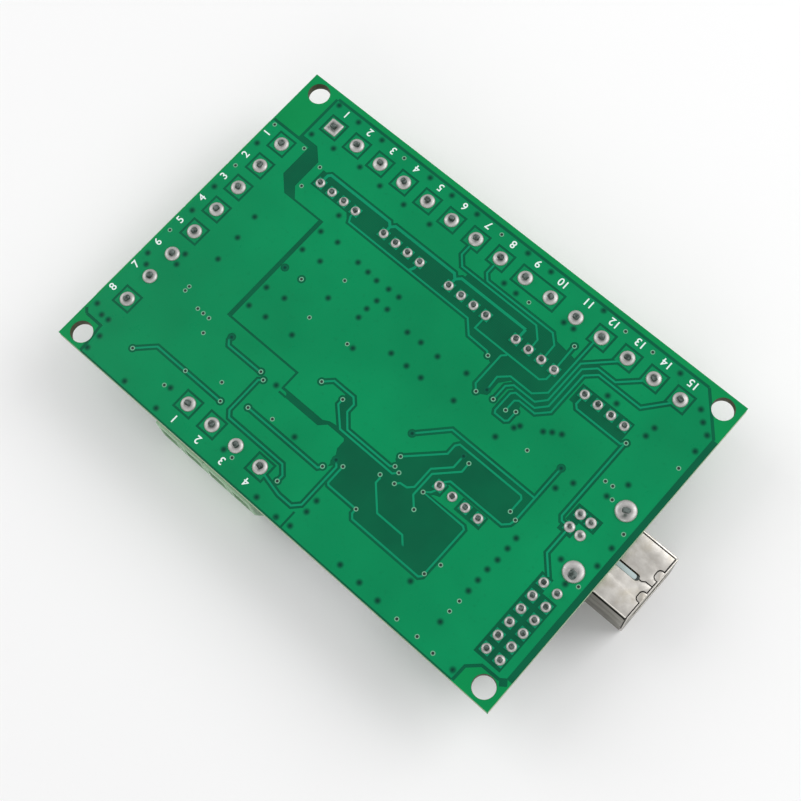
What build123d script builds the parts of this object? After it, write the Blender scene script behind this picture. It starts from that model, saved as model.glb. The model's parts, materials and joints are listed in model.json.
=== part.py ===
from build123d import *
from math import atan2, degrees
import os

# Interface board for a five-axis machine controller, in millimetres.
# The laminate's solder face looks up and lies in the plane z = 0, with the copper on it;
# every component hangs below the board. The origin is the middle of the four mounting holes.
# +X runs towards the USB socket and +Y towards the fifteen-way output row.

# Board
board_length = 88.6
board_width = 59.9
board_thickness = 1.6
board_corner_radius = 0.5
mounting_inset_x = 2.8
mounting_inset_y = 2.5
mounting_hole_diameter = 3.6
copper_thickness = 0.035
fit_clearance = 0.05

# Small round forms that repeat are drawn with few sides, because the board has so many of them
well_sides = 10
can_sides = 16
terminal_joint_sides = 8
pin_joint_sides = 6

# Ground pour on the solder face: its distance in from the board's edges
pour_inset_left = 0.4
pour_inset_right = 1.1
pour_inset_top = 1.45
pour_inset_bottom = 0.35
pour_corner_clear = 6.0
trace_gap = 0.35
rail_width = 0.55
trace_width = 0.35
rail_offset = 2.15
island_size = 2.9
pad_size = 1.75

# Screw terminals, all of one family
terminal_pitch = 5.08
terminal_front = 5.3
terminal_rear = 3.7
terminal_height = 10.2
terminal_front_height = 6.3
terminal_rear_height = 6.9
terminal_front_slope = 1.1
terminal_rear_slope = 1.2
chamber_width = 4.0
chamber_top = 6.4
chamber_rear = 0.6
window_width = 3.4
window_bottom = 1.5
window_top = 5.6
window_wall = 1.1
screw_offset = 1.9
screw_diameter = 3.3
screw_sunk = 0.6
screw_slot_width = 0.6
screw_slot_depth = 0.7
screw_clearance = 0.1
clamp_foot = 1.0
clamp_width = 3.6
clamp_depth = 2.7
clamp_height = 5.0
clamp_wall = 0.7
contact_width = 1.2
contact_thickness = 0.8
key_width = 1.8
key_neck = 1.2
key_depth = 0.7
key_offset = 2.3
key_clearance = 0.1

output_ways, output_blocks = 3, 5
output_row_x = 0.17
output_row_inset = 5.55
input_ways, input_blocks = 2, 4
input_row_inset = 4.41
input_row_clearance = 1.46
spindle_ways, spindle_blocks = 2, 2
spindle_row_x = -12.74
spindle_row_inset = 4.98

# Four-pin axis sockets
pin_pitch = 2.54
pin_width = 0.64
axis_sockets = 5
axis_pins = 4
axis_socket_pitch = 13.67
axis_row_inset = 8.72
axis_row_clearance = 3.45
socket_end = 2.45
socket_front = 3.4
socket_rear = 2.35
socket_height = 7.0
socket_wall = 0.8
socket_floor = 1.6
socket_pin_height = 6.2
socket_slot_width = 1.3
socket_slot_depth = 4.6
socket_notch_width = 1.6
socket_notch_depth = 2.6

# Two-row pin header
header_pins = 6
header_inset = 4.81
header_y = -16.74
header_block_height = 2.54
header_pin_height = 8.5

# Isolated supply converter, a single-in-line potted block
converter_x = 21.02
converter_y = -9.45
converter_pins = 4
converter_length = 11.6
converter_depth = 6.0
converter_height = 10.1
converter_standoff = 0.4
converter_pin_inset = 1.2
converter_edge = 0.4
converter_pin_width = 0.5
converter_pin_thickness = 0.3

# USB-B socket, measured from the line of its two fixing tabs
usb_line_inset = 3.84
usb_y = -0.32
usb_width = 12.04
usb_height = 10.9
usb_front = 9.6
usb_rear = 6.0
usb_wall = 0.35
usb_mouth_width = 8.5
usb_mouth_height = 7.8
usb_mouth_chamfer = 1.6
usb_lip = 0.35
usb_lip_length = 0.6
usb_tab_width = 1.9
usb_tab_drill = 2.3
usb_seam_width = 0.9
usb_seam_shift = -0.38
usb_seam_end = 7.4
usb_slit_width = 0.2
usb_notch_width = 1.5
usb_notch_depth = 1.2
usb_notch_spread = 2.05
usb_block_front = -0.6
usb_foot_margin = 0.9
usb_tongue_width = 5.6
usb_tongue_height = 3.2
usb_tongue_setback = 1.4
usb_pin_front = -2.71
usb_pin_rear = -4.71
usb_pin_spread = 2.5
usb_contact_width = 0.6
usb_contact_thickness = 0.3

# Solder joints: a ring of solder drawn up round each pin's end
terminal_joint_diameter = 2.44
terminal_joint_height = 1.1
pin_joint_diameter = 1.6
pin_joint_height = 0.9
tab_joint_diameter = 3.4
tab_joint_height = 0.8
joint_top_share = 0.42

# Chips: each sits a little off the board on flat leads that slope down from its sides
chip_standoff = 0.1
chip_draft = 5
lead_thickness = 0.2
lead_rise = 0.35
microcontroller = dict(length=7.0, width=7.0, span=9.0, height=1.5, pins=8, pitch=0.8, lead=0.35,
                       sides=4)
line_driver = dict(length=12.8, width=7.5, span=10.3, height=2.4, pins=10, pitch=1.27, lead=0.42)
output_driver = dict(length=9.9, width=3.9, span=6.0, height=1.6, pins=8, pitch=1.27, lead=0.42)
amplifier = dict(length=4.9, width=3.9, span=6.0, height=1.6, pins=4, pitch=1.27, lead=0.42)
isolator = dict(length=3.8, width=4.4, span=7.0, height=2.0, pins=2, pitch=2.54, lead=0.4)
microcontroller_place = (3.0, -5.0)
line_driver_x, line_driver_clearance = -6.5, 1.8
output_driver_place = (23.5, 7.0)
amplifier_x, amplifier_clearance = -11.0, 1.6
input_isolators, input_isolator_pitch, input_isolator_clearance = 5, 4.2, 1.5
spindle_isolator_x, spindle_isolator_clearance = -5.4, 3.4

# Power parts and small parts
regulator_length, regulator_width, regulator_height = 6.5, 6.1, 2.3
regulator_tab_length, regulator_tab_width, regulator_tab_thickness = 3.2, 5.3, 0.5
regulator_leg_length, regulator_leg_width, regulator_leg_pitch = 2.6, 0.8, 4.6
regulator_y, regulator_clearance = -16.0, 1.1
inductor_size, inductor_height, inductor_base, inductor_corner = 7.0, 4.5, 1.0, 1.8
inductor_x, inductor_clearance = -17.4, 1.4
can_diameter, can_height, can_base_size, can_base_height, can_base_corner = 8.0, 9.6, 8.3, 1.1, 1.6
can_x, can_pitch, cans, can_clearance = 12.8, 9.6, 2, 1.8
crystal_length, crystal_width, crystal_height, crystal_lip = 11.2, 4.4, 4.0, 0.4
crystal_place = (-9.6, -5.2)
diode_length, diode_width, diode_height, diode_foot = 4.4, 2.6, 2.2, 0.7
diode_clearance = 0.35
resistor_length, resistor_width, resistor_height = 2.0, 1.25, 0.5
capacitor_length, capacitor_width, capacitor_height = 1.6, 0.85, 0.8
lamp_length, lamp_width, lamp_height = 2.0, 1.25, 0.75
lamp_clearance = 1.0
resistor_clearance = 0.5
pull_up_resistors, pull_up_pitch, pull_up_place = 3, 2.2, (-15.2, 6.4)
output_resistors, output_resistor_pitch, output_resistor_drop = 4, 2.2, 5.6
supply_lamps, supply_lamp_pitch, supply_lamp_x, supply_lamp_inset = 2, 4.0, 28.0, 4.35
decoupling_spread_x, decoupling_spread_y = 12.4, 4.4
filter_capacitor_pitch, filter_capacitor_rise = 5.0, 8.0
spare_capacitor_place = (-16.8, -8.0)
header_capacitor_back, header_capacitor_rise = 5.5, 2.74


# ---------------------------------------------------------------- helpers

def spread(count, pitch):
    return [(i - (count - 1) / 2) * pitch for i in range(count)]


def underside(x, y, turn=0):
    # A place on the component face: local +Z points away from the board,
    # and local +Y, a part's front, points to -Y before the turn
    return Pos(x, y, -board_thickness) * Rot(0, 0, turn) * Rot(180, 0, 0)


def save(node, shapes):
    solids = [solid for shape in shapes for solid in shape.solids()]
    whole = solids[0] if len(solids) == 1 else Compound(children=solids)
    whole.label = node
    export_step(whole, f"parts/{node}.step")


def box_between(low, high):
    size = [b - a for a, b in zip(low, high)]
    middle = [(a + b) / 2 for a, b in zip(low, high)]
    return Pos(*middle) * Box(*size)


def side_profile(points, width):
    # A bar along X with the given outline in Y and Z
    face = make_face(Plane.YZ * Polyline(*points, close=True))
    return extrude(face, width / 2, both=True)


def prism(diameter, height, sides):
    # A small round form with few sides, measured across its corners
    return extrude(RegularPolygon(diameter / 2, sides), height)


def ribbon(points, width, overrun=0):
    # A flat strip of one width along a bent line, with mitred corners
    line = [Vector(*point) for point in points]
    first = (line[1] - line[0]).normalized()
    last = (line[-1] - line[-2]).normalized()
    line[0] -= first * overrun
    line[-1] += last * overrun
    left, right = [], []
    for i, point in enumerate(line):
        before = (point - line[i - 1]).normalized() if i else first
        after = (line[i + 1] - point).normalized() if i < len(line) - 1 else last
        side = (before + after).normalized().rotate(Axis.Z, 90)
        reach = width / 2 / side.dot(before.rotate(Axis.Z, 90))
        left.append(point + side * reach)
        right.append(point - side * reach)
    return make_face(Polyline(*left, *reversed(right), close=True))


def area(*points):
    return make_face(Polyline(*points, close=True))


def patch(low_x, low_y, high_x, high_y):
    return area((low_x, low_y), (high_x, low_y), (high_x, high_y), (low_x, high_y))


def square_at(place, size):
    return Pos(*place) * Rectangle(size, size)


# ---------------------------------------------------------------- places of the pins

output_count = output_ways * output_blocks
input_count = input_ways * input_blocks
spindle_count = spindle_ways * spindle_blocks
output_row_y = board_width / 2 - output_row_inset
input_row_x = -board_length / 2 + input_row_inset
input_row_y = output_row_y - terminal_rear - input_row_clearance - input_count * terminal_pitch / 2
spindle_row_y = -board_width / 2 + spindle_row_inset
input_rear_x = input_row_x + terminal_rear
spindle_rear_y = spindle_row_y + terminal_rear
usb_line_x = board_length / 2 - usb_line_inset
header_x = board_length / 2 - header_inset
output_row = underside(output_row_x, output_row_y, 180)
input_row = underside(input_row_x, input_row_y, -90)
spindle_row = underside(spindle_row_x, spindle_row_y)

output_places = [(output_row_x + x, output_row_y) for x in spread(output_count, terminal_pitch)]
input_places = [(input_row_x, input_row_y - y) for y in spread(input_count, terminal_pitch)]
spindle_places = [(spindle_row_x + x, spindle_row_y) for x in spread(spindle_count, terminal_pitch)]

axis_row_y = output_row_y - axis_row_inset
axis_first_x = input_rear_x + axis_row_clearance + (axis_pins - 1) * pin_pitch / 2 + socket_end
axis_centres = [axis_first_x + number * axis_socket_pitch for number in range(axis_sockets)]
axis_rows = [[(centre + x, axis_row_y) for x in spread(axis_pins, pin_pitch)]
             for centre in axis_centres]
axis_places = [place for row in axis_rows for place in row]
converter_places = [(converter_x + x, converter_y) for x in spread(converter_pins, pin_pitch)]
header_places = [(header_x + x, header_y - y)
                 for y in spread(header_pins, pin_pitch)
                 for x in spread(2, pin_pitch)]
usb_pin_places = [(usb_line_x + back, usb_y + side)
                  for back in (usb_pin_front, usb_pin_rear)
                  for side in spread(2, usb_pin_spread)]
usb_tab_places = [(usb_line_x, usb_y + side) for side in spread(2, usb_width)]
mounting_places = [(x, y) for x in spread(2, board_length - 2 * mounting_inset_x)
                   for y in spread(2, board_width - 2 * mounting_inset_y)]


# ---------------------------------------------------------------- board and its copper

def circuit_board():
    outline = RectangleRounded(board_length, board_width, board_corner_radius)
    play = 2 * fit_clearance
    contact_hole = Rectangle(contact_width + play, contact_thickness + play)
    pin_hole = Rectangle(pin_width + play, pin_width + play)
    slots = [Pos(*place) * contact_hole for place in output_places + spindle_places]
    slots += [Pos(*place) * Rot(0, 0, 90) * contact_hole for place in input_places]
    slots += [Pos(*place) * pin_hole for place in axis_places + converter_places + header_places]
    slots += [Pos(*place) * pin_hole for place in usb_pin_places]
    slots += [Pos(*place) * Circle(usb_tab_drill / 2) for place in usb_tab_places]
    slots += [Pos(*place) * Circle(mounting_hole_diameter / 2) for place in mounting_places]
    return extrude(outline - slots, -board_thickness)


pour_left = -board_length / 2 + pour_inset_left
pour_right = board_length / 2 - pour_inset_right
pour_top = board_width / 2 - pour_inset_top
pour_bottom = -board_width / 2 + pour_inset_bottom
input_pour_top = input_places[0][1] + 2.4


def pour_outline():
    # The ground pour stops short of the edges and leaves the corners round the holes bare
    corner = pour_corner_clear
    return area((pour_left + corner, pour_top), (pour_right - corner, pour_top),
                (pour_right, pour_top - corner), (pour_right, pour_bottom + 5),
                (pour_right - corner, pour_bottom + 3), (pour_right - corner, pour_bottom),
                (pour_left + 4.6, pour_bottom), (pour_left + 4.2, pour_bottom + 5),
                (pour_left, pour_bottom + 6), (pour_left, input_pour_top),
                (pour_left + corner, input_pour_top))


def bare_fields():
    # Wide stretches with no copper: isolation channels and the ground under groups of traces
    socket_row = axis_rows[0][0][1]
    header_low = header_places[-1][1] - 1.4
    return [
        area((-38.3, 20.3), (-35.2, 20.3), (-33.1, 18.2), (-33.1, 12.7), (-31.4, 11.0),
             (-25.3, 11.0), (-25.3, 10.6), (-33.6, 10.6), (-36.1, 13.1), (-36.1, 19.2), (-38.3, 19.2)),
        area((-11.3, -13.4), (-0.8, -12.9), (1.7, -13.7), (2.5, -18.6), (-2.2, -18.6),
             (-2.8, -14.5), (-11.3, -14.5)),
        area((10.3, 5.4), (10.3, 12.8), (19.6, 12.8), (19.6, 19.6), (22.9, 19.6), (22.9, 10.1),
             (20.8, 8.0), (17.6, 8.0), (17.6, 4.3), (15.3, 4.3)),
        patch(-26.1, -10.45, -25.25, 11.0),
        patch(-31.6, socket_row - 1.2, -3.9, socket_row + 1.7),
        patch(-2.0, 18.2, 11.0, 19.2),
        patch(axis_rows[4][0][0] - 1.3, socket_row - 2.2, axis_rows[4][3][0] + 1.2, socket_row + 1.2),
        patch(34.5, -0.3, 39.1, 2.2),
        patch(36.95, header_low, 41.85, header_places[2][1] + 1.3),
        patch(36.95, header_places[2][1], 39.1, header_places[0][1] + 1.2),
        area((15.0, -2.3), (28.6, -2.3), (28.6, -7.5), (18.3, -7.5), (14.7, -11.2), (14.7, -5.0)),
        patch(converter_places[2][0] - 1.2, -10.75, converter_places[3][0] + 1.2, -8.4),
        area((4.3, -16.6), (9.0, -13.2), (15.6, -13.2), (16.4, -11.8), (24.3, -11.8),
             (24.3, -21.7), (10.8, -21.7), (10.2, -20.2), (4.3, -20.2)),
    ]


def thin_gaps():
    # Narrow breaks in the pour that part one net from the next
    return [
        ribbon([(-25.7, -10.3), (-11.15, -10.3), (-11.15, -13.5)], trace_gap),
        ribbon([(3.55, -26.4), (3.55, pour_bottom - 0.1)], trace_gap),
    ]


def rails():
    # Supply rails along the sockets, with a short branch to a pin of each socket
    upper = axis_row_y + rail_offset
    lower = axis_row_y - rail_offset
    first_pins = [row[0] for row in axis_rows]
    last_pins = [row[3] for row in axis_rows]
    lines = [[(first_pins[0][0], upper), (first_pins[3][0], upper)]]
    lines += [[pin, (pin[0], upper)] for pin in first_pins[:4]]
    lines += [[last_pins[0], (last_pins[0][0], lower), (2.8, lower), (4.9, 11.5), (9.2, 11.5)]]
    lines += [[last_pins[1], (last_pins[1][0], lower)]]
    lines += [[last_pins[2], (last_pins[2][0], lower - 0.5), (last_pins[3][0], lower - 0.5), last_pins[3]]]
    return lines


def signal_traces():
    # The longer traces, each from its pad along the board to its via
    out = output_places
    step, pulse = axis_rows[3][1], axis_rows[3][2]
    data_pin = usb_pin_places[2]
    supply_pin = converter_places[0]
    return [
        [out[6], (-4.9, 21.0), (-3.5, 19.55), (11.6, 19.55), (step[0], 17.8), step],
        [out[7], (1.1, 20.3), (14.3, 20.3), (pulse[0], 18.7), pulse],
        [out[11], (20.0, 23.0), (20.0, 12.3), (18.3, 10.6), (14.0, 10.6), (12.6, 9.2), (12.6, 6.6)],
        [out[12], (24.4, 22.8), (20.75, 19.1), (20.75, 11.4), (19.3, 9.9), (14.4, 9.9), (14.4, 6.1)],
        [out[13], (29.2, 22.7), (26.7, 20.2), (23.2, 20.2), (21.45, 18.4), (21.45, 10.6),
         (20.0, 9.15), (15.7, 9.15), (15.7, 5.0)],
        [out[14], (35.2, 22.7), (32.0, 19.5), (24.0, 19.5), (22.2, 17.8), (22.2, 10.2),
         (20.4, 8.45), (16.95, 8.45), (16.95, 6.0)],
        [axis_rows[4][0], (24.4, 13.15), (33.8, 13.15), (33.8, -0.9), data_pin],
        [data_pin, (35.75, -6.8), (38.1, -9.3)],
        [supply_pin, (16.0, -11.75), (24.35, -11.8), (24.35, -21.75), (10.2, -21.75),
         (10.2, -20.25), (4.3, -20.25), (4.3, -16.7)],
        [(-14.9, -14.6), (-14.9, -22.4), (-1.65, -22.4), (-1.65, -24.9)],
        [(2.8, -16.6), (3.6, -17.4), (3.6, -25.15), (2.45, -26.3), spindle_places[3]],
    ]


def solder_side_copper():
    # Pads that the pour leaves alone keep a square of copper inside a square gap
    parted = [place for i, place in enumerate(output_places) if i not in (8, 9, 10)]
    parted += input_places[:5] + [input_places[7]]
    parted += [spindle_places[0], spindle_places[1], spindle_places[3]]
    ring = island_size + 2 * trace_gap
    low, high = output_places[8], output_places[9]
    half = island_size / 2
    supply_pad = patch(low[0] - half, low[1] - half, high[0] + half, high[1] + half)
    copper = pour_outline() - bare_fields() - thin_gaps()
    copper -= [square_at(place, ring) for place in parted]
    copper -= patch(low[0] - ring / 2, low[1] - ring / 2, high[0] + ring / 2, high[1] + ring / 2)
    copper -= [ribbon(line, rail_width + 2 * trace_gap, trace_gap) for line in rails()]
    copper -= [ribbon(line, trace_width + 2 * trace_gap, trace_gap) for line in signal_traces()]
    copper += [ribbon(line, rail_width) for line in rails()]
    copper += [ribbon(line, trace_width) for line in signal_traces()]
    copper += [square_at(place, island_size) for place in parted]
    copper += supply_pad
    copper += [square_at(place, pad_size) for place in axis_places + converter_places + header_places]
    copper += [square_at(place, pad_size) for place in usb_pin_places]
    return extrude(copper, copper_thickness)


# ---------------------------------------------------------------- screw terminals

def dovetail(width, neck, depth):
    # Locks each block to the next; it points to -X
    return area((0, -neck / 2), (-depth, -width / 2), (-depth, width / 2), (0, neck / 2))


def terminal_housing(ways):
    # A moulded block, open below; each way has a chamber, a wire window and a screw well
    length = ways * terminal_pitch - fit_clearance
    front, rear, top = terminal_front, -terminal_rear, terminal_height
    body = side_profile([(rear, 0), (front, 0), (front, terminal_front_height),
                         (front - terminal_front_slope, top), (rear + terminal_rear_slope, top),
                         (rear, terminal_rear_height)], length)
    well = screw_diameter + 2 * screw_clearance
    for x in spread(ways, terminal_pitch):
        chamber = box_between((x - chamber_width / 2, -chamber_rear, 0),
                              (x + chamber_width / 2, front - window_wall, chamber_top))
        window = box_between((x - window_width / 2, 0, window_bottom),
                             (x + window_width / 2, front, window_top))
        screw_well = Pos(x, screw_offset, chamber_top) * prism(well, top - chamber_top, well_sides)
        body -= [chamber, window, screw_well]
    key = dovetail(key_width, key_neck, key_depth)
    keyway = dovetail(key_width + 2 * key_clearance, key_neck + 2 * key_clearance,
                      key_depth + key_clearance)
    body += extrude(Pos(-length / 2, key_offset) * key, terminal_front_height)
    body -= extrude(Pos(length / 2, key_offset) * keyway, terminal_front_height)
    return body


def terminal_screw():
    # A slotted screw that stands on the lifting cage, sunk a little in its well
    foot = clamp_foot + clamp_height
    head = terminal_height - screw_sunk
    body = Pos(0, screw_offset, foot) * prism(screw_diameter, head - foot, well_sides)
    slot = Pos(0, screw_offset, head) * Box(screw_diameter, screw_slot_width, 2 * screw_slot_depth)
    return body - slot


def terminal_clamp():
    # The lifting cage: a square tube open to the wire window
    outside = Box(clamp_width, clamp_depth, clamp_height)
    inside = Box(clamp_width - 2 * clamp_wall, clamp_depth, clamp_height - 2 * clamp_wall)
    return Pos(0, screw_offset, clamp_foot + clamp_height / 2) * (outside - inside)


def terminal_contact():
    # A bent strip: up from the board behind the cage, then forward under the cage's top
    half = contact_thickness / 2
    tip = screw_offset + clamp_depth / 2
    top = clamp_foot + clamp_height - clamp_wall
    return side_profile([(-half, -board_thickness), (half, -board_thickness),
                         (half, top - contact_thickness), (tip, top - contact_thickness),
                         (tip, top), (-half, top)], contact_width)


def terminal_row(name, row, ways, blocks):
    housing = terminal_housing(ways)
    for number, x in enumerate(spread(blocks, ways * terminal_pitch), start=1):
        save(f"{name}_terminal_{number}", [row * Pos(x, 0, 0) * housing])
    seats = [row * Pos(x, 0, 0) for x in spread(ways * blocks, terminal_pitch)]
    save(f"{name}_screws", [seat * terminal_screw() for seat in seats])
    save(f"{name}_clamps", [seat * terminal_clamp() for seat in seats])
    save(f"{name}_contacts", [seat * terminal_contact() for seat in seats])


# ---------------------------------------------------------------- pin sockets and header

def square_pin(top):
    return box_between((-pin_width / 2, -pin_width / 2, -board_thickness),
                       (pin_width / 2, pin_width / 2, top))


def axis_socket():
    # Open wafer: a tray with latch slots in its front wall and a notch at each end
    half = (axis_pins - 1) * pin_pitch / 2 + socket_end
    body = box_between((-half, -socket_rear, 0), (half, socket_front, socket_height))
    body -= box_between((-half + socket_wall, -socket_rear + socket_wall, socket_floor),
                        (half - socket_wall, socket_front - socket_wall, socket_height))
    for x in spread(2, (axis_pins - 1) * pin_pitch):
        body -= box_between((x - socket_slot_width / 2, socket_front - socket_wall,
                             socket_height - socket_slot_depth),
                            (x + socket_slot_width / 2, socket_front, socket_height))
    body -= box_between((-half, -socket_notch_width / 2, socket_height - socket_notch_depth),
                        (half, socket_notch_width / 2, socket_height))
    hole = pin_width + 2 * fit_clearance
    body -= [Pos(x, 0, 0) * Box(hole, hole, 2 * socket_floor) for x in spread(axis_pins, pin_pitch)]
    return body


def header_block():
    block = small_block(2 * pin_pitch, header_pins * pin_pitch, header_block_height)
    hole = pin_width + 2 * fit_clearance
    return block - [Pos(x, y, 0) * Box(hole, hole, 2 * header_block_height)
                    for x in spread(2, pin_pitch) for y in spread(header_pins, pin_pitch)]


def converter_block():
    rear = -converter_pin_inset
    front = converter_depth - converter_pin_inset
    block = box_between((-converter_length / 2, rear, converter_standoff),
                        (converter_length / 2, front, converter_height))
    sides = block.edges().filter_by(Axis.Z)
    rim = block.faces().sort_by(Axis.Z)[-1].edges()
    return chamfer(sides + rim, converter_edge)


def converter_pin():
    return box_between((-converter_pin_width / 2, -converter_pin_thickness / 2, -board_thickness),
                       (converter_pin_width / 2, converter_pin_thickness / 2, converter_standoff))


# ---------------------------------------------------------------- USB socket

def usb_mouth(extra=0):
    # The plug's outline: a rectangle with the two corners away from the board cut off
    half = usb_mouth_width / 2 + extra
    low = (usb_height - usb_mouth_height) / 2 - extra
    high = (usb_height + usb_mouth_height) / 2 + extra
    cut = usb_mouth_chamfer
    return Plane.XZ * area((-half, low), (half, low), (half, high - cut), (half - cut, high),
                           (-half + cut, high), (-half, high - cut))


def usb_seam():
    # The slot and the jogged slit where the two edges of the folded sheet meet
    slot_front = usb_seam_end - usb_seam_width / 2
    jog = usb_front - 1.6
    slot = patch(usb_seam_shift - usb_seam_width / 2, usb_pin_front, usb_seam_shift + usb_seam_width / 2,
                 slot_front)
    slit = ribbon([(usb_seam_shift, slot_front), (usb_seam_shift, jog),
                   (-usb_seam_shift / 3, jog + 0.4), (-usb_seam_shift / 3, usb_front)], usb_slit_width)
    return slot + Pos(usb_seam_shift, slot_front) * Circle(usb_seam_width / 2) + slit


def usb_foot_opening():
    # Where the insulator and its pins come through the shell's board side
    half = usb_pin_spread / 2 + usb_foot_margin
    return patch(-half, -usb_rear + usb_wall, half, usb_pin_front + usb_foot_margin)


def usb_shell():
    # Folded steel box with a rolled mouth, a seam on the board side and two fixing tabs
    half, wall = usb_width / 2, usb_wall
    shell = box_between((-half, -usb_rear, 0), (half, usb_front, usb_height))
    shell -= box_between((-half + wall, -usb_rear + wall, wall),
                         (half - wall, usb_front - wall, usb_height - wall))
    shell += extrude(Pos(0, usb_front, 0) * usb_mouth(usb_lip), -usb_lip_length)
    shell -= extrude(Pos(0, usb_front - usb_wall, 0) * usb_mouth(), -usb_lip_length - usb_wall)
    shell -= extrude(usb_seam(), wall)
    shell -= extrude(usb_foot_opening(), wall)
    notch = RectangleRounded(usb_notch_width, 2 * usb_notch_depth, usb_notch_width * 0.4)
    for x in spread(2, 2 * usb_notch_spread):
        shell -= extrude(Pos(x, usb_front - wall) * notch, wall)
    tab = box_between((0, -usb_tab_width / 2, -board_thickness), (wall, usb_tab_width / 2, wall))
    shell += [Pos(half - wall, 0, 0) * tab, Pos(-half, 0, 0) * tab]
    return shell


def usb_contact(x, pin_y, side):
    # One spring strip on the tongue, led back through the block and down to the board
    face = usb_height / 2 + side * usb_tongue_height / 2
    low, high = sorted((face, face - side * usb_contact_thickness))
    back = pin_y - usb_contact_thickness / 2
    leg = pin_y + usb_contact_thickness / 2
    tip = usb_front - usb_tongue_setback - 1
    strip = side_profile([(back, -board_thickness), (leg, -board_thickness), (leg, low),
                          (tip, low), (tip, high), (back, high)], usb_contact_width)
    return Pos(x, 0, 0) * strip


def usb_contact_set():
    row = spread(2, usb_pin_spread)
    return ([usb_contact(x, usb_pin_front, -1) for x in row]
            + [usb_contact(x, usb_pin_rear, 1) for x in row])


def usb_insulator(contacts):
    # Moulded block that fills the shell's rear, with the tongue that the plug slides over
    gap = usb_wall + fit_clearance
    half = usb_width / 2 - gap
    low, high = (usb_height - usb_tongue_height) / 2, (usb_height + usb_tongue_height) / 2
    block = box_between((-half, -usb_rear + gap, gap), (half, usb_block_front, usb_height - gap))
    tongue = box_between((-usb_tongue_width / 2, usb_block_front, low),
                         (usb_tongue_width / 2, usb_front - usb_tongue_setback, high))
    foot = extrude(offset(usb_foot_opening(), -fit_clearance), gap)
    return block + tongue + foot - contacts


# ---------------------------------------------------------------- chips and small parts

def small_block(length, width, height):
    return box_between((-length / 2, -width / 2, 0), (length / 2, width / 2, height))


def chip_body(kind):
    # Straight sides up to the top of the leads, then drawn in a little
    outline = Rectangle(kind["length"], kind["width"])
    waist = kind["height"] * lead_rise + lead_thickness
    body = Pos(0, 0, chip_standoff) * extrude(outline, waist - chip_standoff)
    return body + Pos(0, 0, waist) * extrude(outline, kind["height"] - waist, taper=chip_draft)


def chip_leads(kind):
    # Flat strips that slope down from the sides of the body to the board
    root, toe = kind["width"] / 2, kind["span"] / 2
    rise = kind["height"] * lead_rise
    lead = side_profile([(root, rise), (toe, 0), (toe, lead_thickness),
                         (root, rise + lead_thickness)], kind["lead"])
    sides = kind.get("sides", 2)
    return [Rot(0, 0, side * 360 / sides) * Pos(x, 0, 0) * lead
            for side in range(sides)
            for x in spread(kind["pins"], kind["pitch"])]


def save_chips(name, kind, seats):
    save(name, [seat * chip_body(kind) for seat in seats])
    save(f"{name}_leads", [seat * lead for seat in seats for lead in chip_leads(kind)])


def power_regulator():
    # Flat power package: soldered tab at one end, two legs at the other
    body = Pos(0, 0, chip_standoff) * small_block(regulator_length, regulator_width, regulator_height)
    tab_reach = regulator_width / 2 + regulator_tab_length / 2
    tab = Pos(0, tab_reach, 0) * small_block(regulator_tab_width, regulator_tab_length,
                                             regulator_tab_thickness)
    leg_reach = regulator_width / 2 + regulator_leg_length / 2
    legs = [Pos(x, -leg_reach, 0) * small_block(regulator_leg_width, regulator_leg_length,
                                                regulator_tab_thickness)
            for x in spread(2, regulator_leg_pitch)]
    return body + tab + legs


def blunt_plate(length, width, cut, thickness):
    # A rectangle with its four corners cut off, raised to a thickness
    return extrude(chamfer(Rectangle(length, width).vertices(), cut), thickness)


def power_inductor():
    # Shielded choke: a square block with cut corners on a thinner foot
    block = blunt_plate(inductor_size, inductor_size, inductor_corner, inductor_height - inductor_base)
    foot = small_block(inductor_size - inductor_corner, inductor_size, inductor_base)
    return Pos(0, 0, inductor_base) * block + foot


def can_capacitor():
    # Aluminium can on a square plastic base with two cut corners
    plate = Rectangle(can_base_size, can_base_size)
    base = extrude(chamfer(plate.vertices().sort_by(Axis.X)[:2], can_base_corner), can_base_height)
    can = prism(can_diameter, can_height - can_base_height, can_sides)
    return base, Pos(0, 0, can_base_height) * can


def crystal():
    # Low metal can with blunt ends on a thin lip
    lip = blunt_plate(crystal_length, crystal_width, crystal_width / 3, crystal_lip)
    can = blunt_plate(crystal_length - 2 * crystal_lip, crystal_width - 2 * crystal_lip,
                      crystal_width / 3, crystal_height)
    return lip + can


def power_diode():
    body = Pos(0, 0, chip_standoff) * small_block(diode_length, diode_width, diode_height)
    feet = small_block(diode_length + 2 * diode_foot, diode_width / 2, chip_standoff)
    return body + feet


# ---------------------------------------------------------------- solder

def joints(places, diameter, height, sides=pin_joint_sides):
    # A cone of solder drawn up over each pin's end
    slope = (1 - joint_top_share) * diameter / 2
    angle = degrees(atan2(slope, height))
    joint = extrude(RegularPolygon(diameter / 2, sides), height, taper=angle)
    return [Pos(*place, copper_thickness) * joint for place in places]


# ---------------------------------------------------------------- the whole board

os.makedirs("parts", exist_ok=True)

save("circuit_board", [circuit_board()])
save("solder_side_copper", [solder_side_copper()])

terminal_row("output", output_row, output_ways, output_blocks)
terminal_row("input", input_row, input_ways, input_blocks)
terminal_row("spindle", spindle_row, spindle_ways, spindle_blocks)

for number, centre in enumerate(axis_centres, start=1):
    save(f"axis_socket_{number}", [underside(centre, axis_row_y, 180) * axis_socket()])
save("axis_pins", [underside(*place) * square_pin(socket_pin_height) for place in axis_places])

save("header_block", [underside(header_x, header_y) * header_block()])
save("header_pins", [underside(*place) * square_pin(header_pin_height) for place in header_places])

save("supply_converter", [underside(converter_x, converter_y) * converter_block()])
save("converter_pins", [underside(*place) * converter_pin() for place in converter_places])

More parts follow.
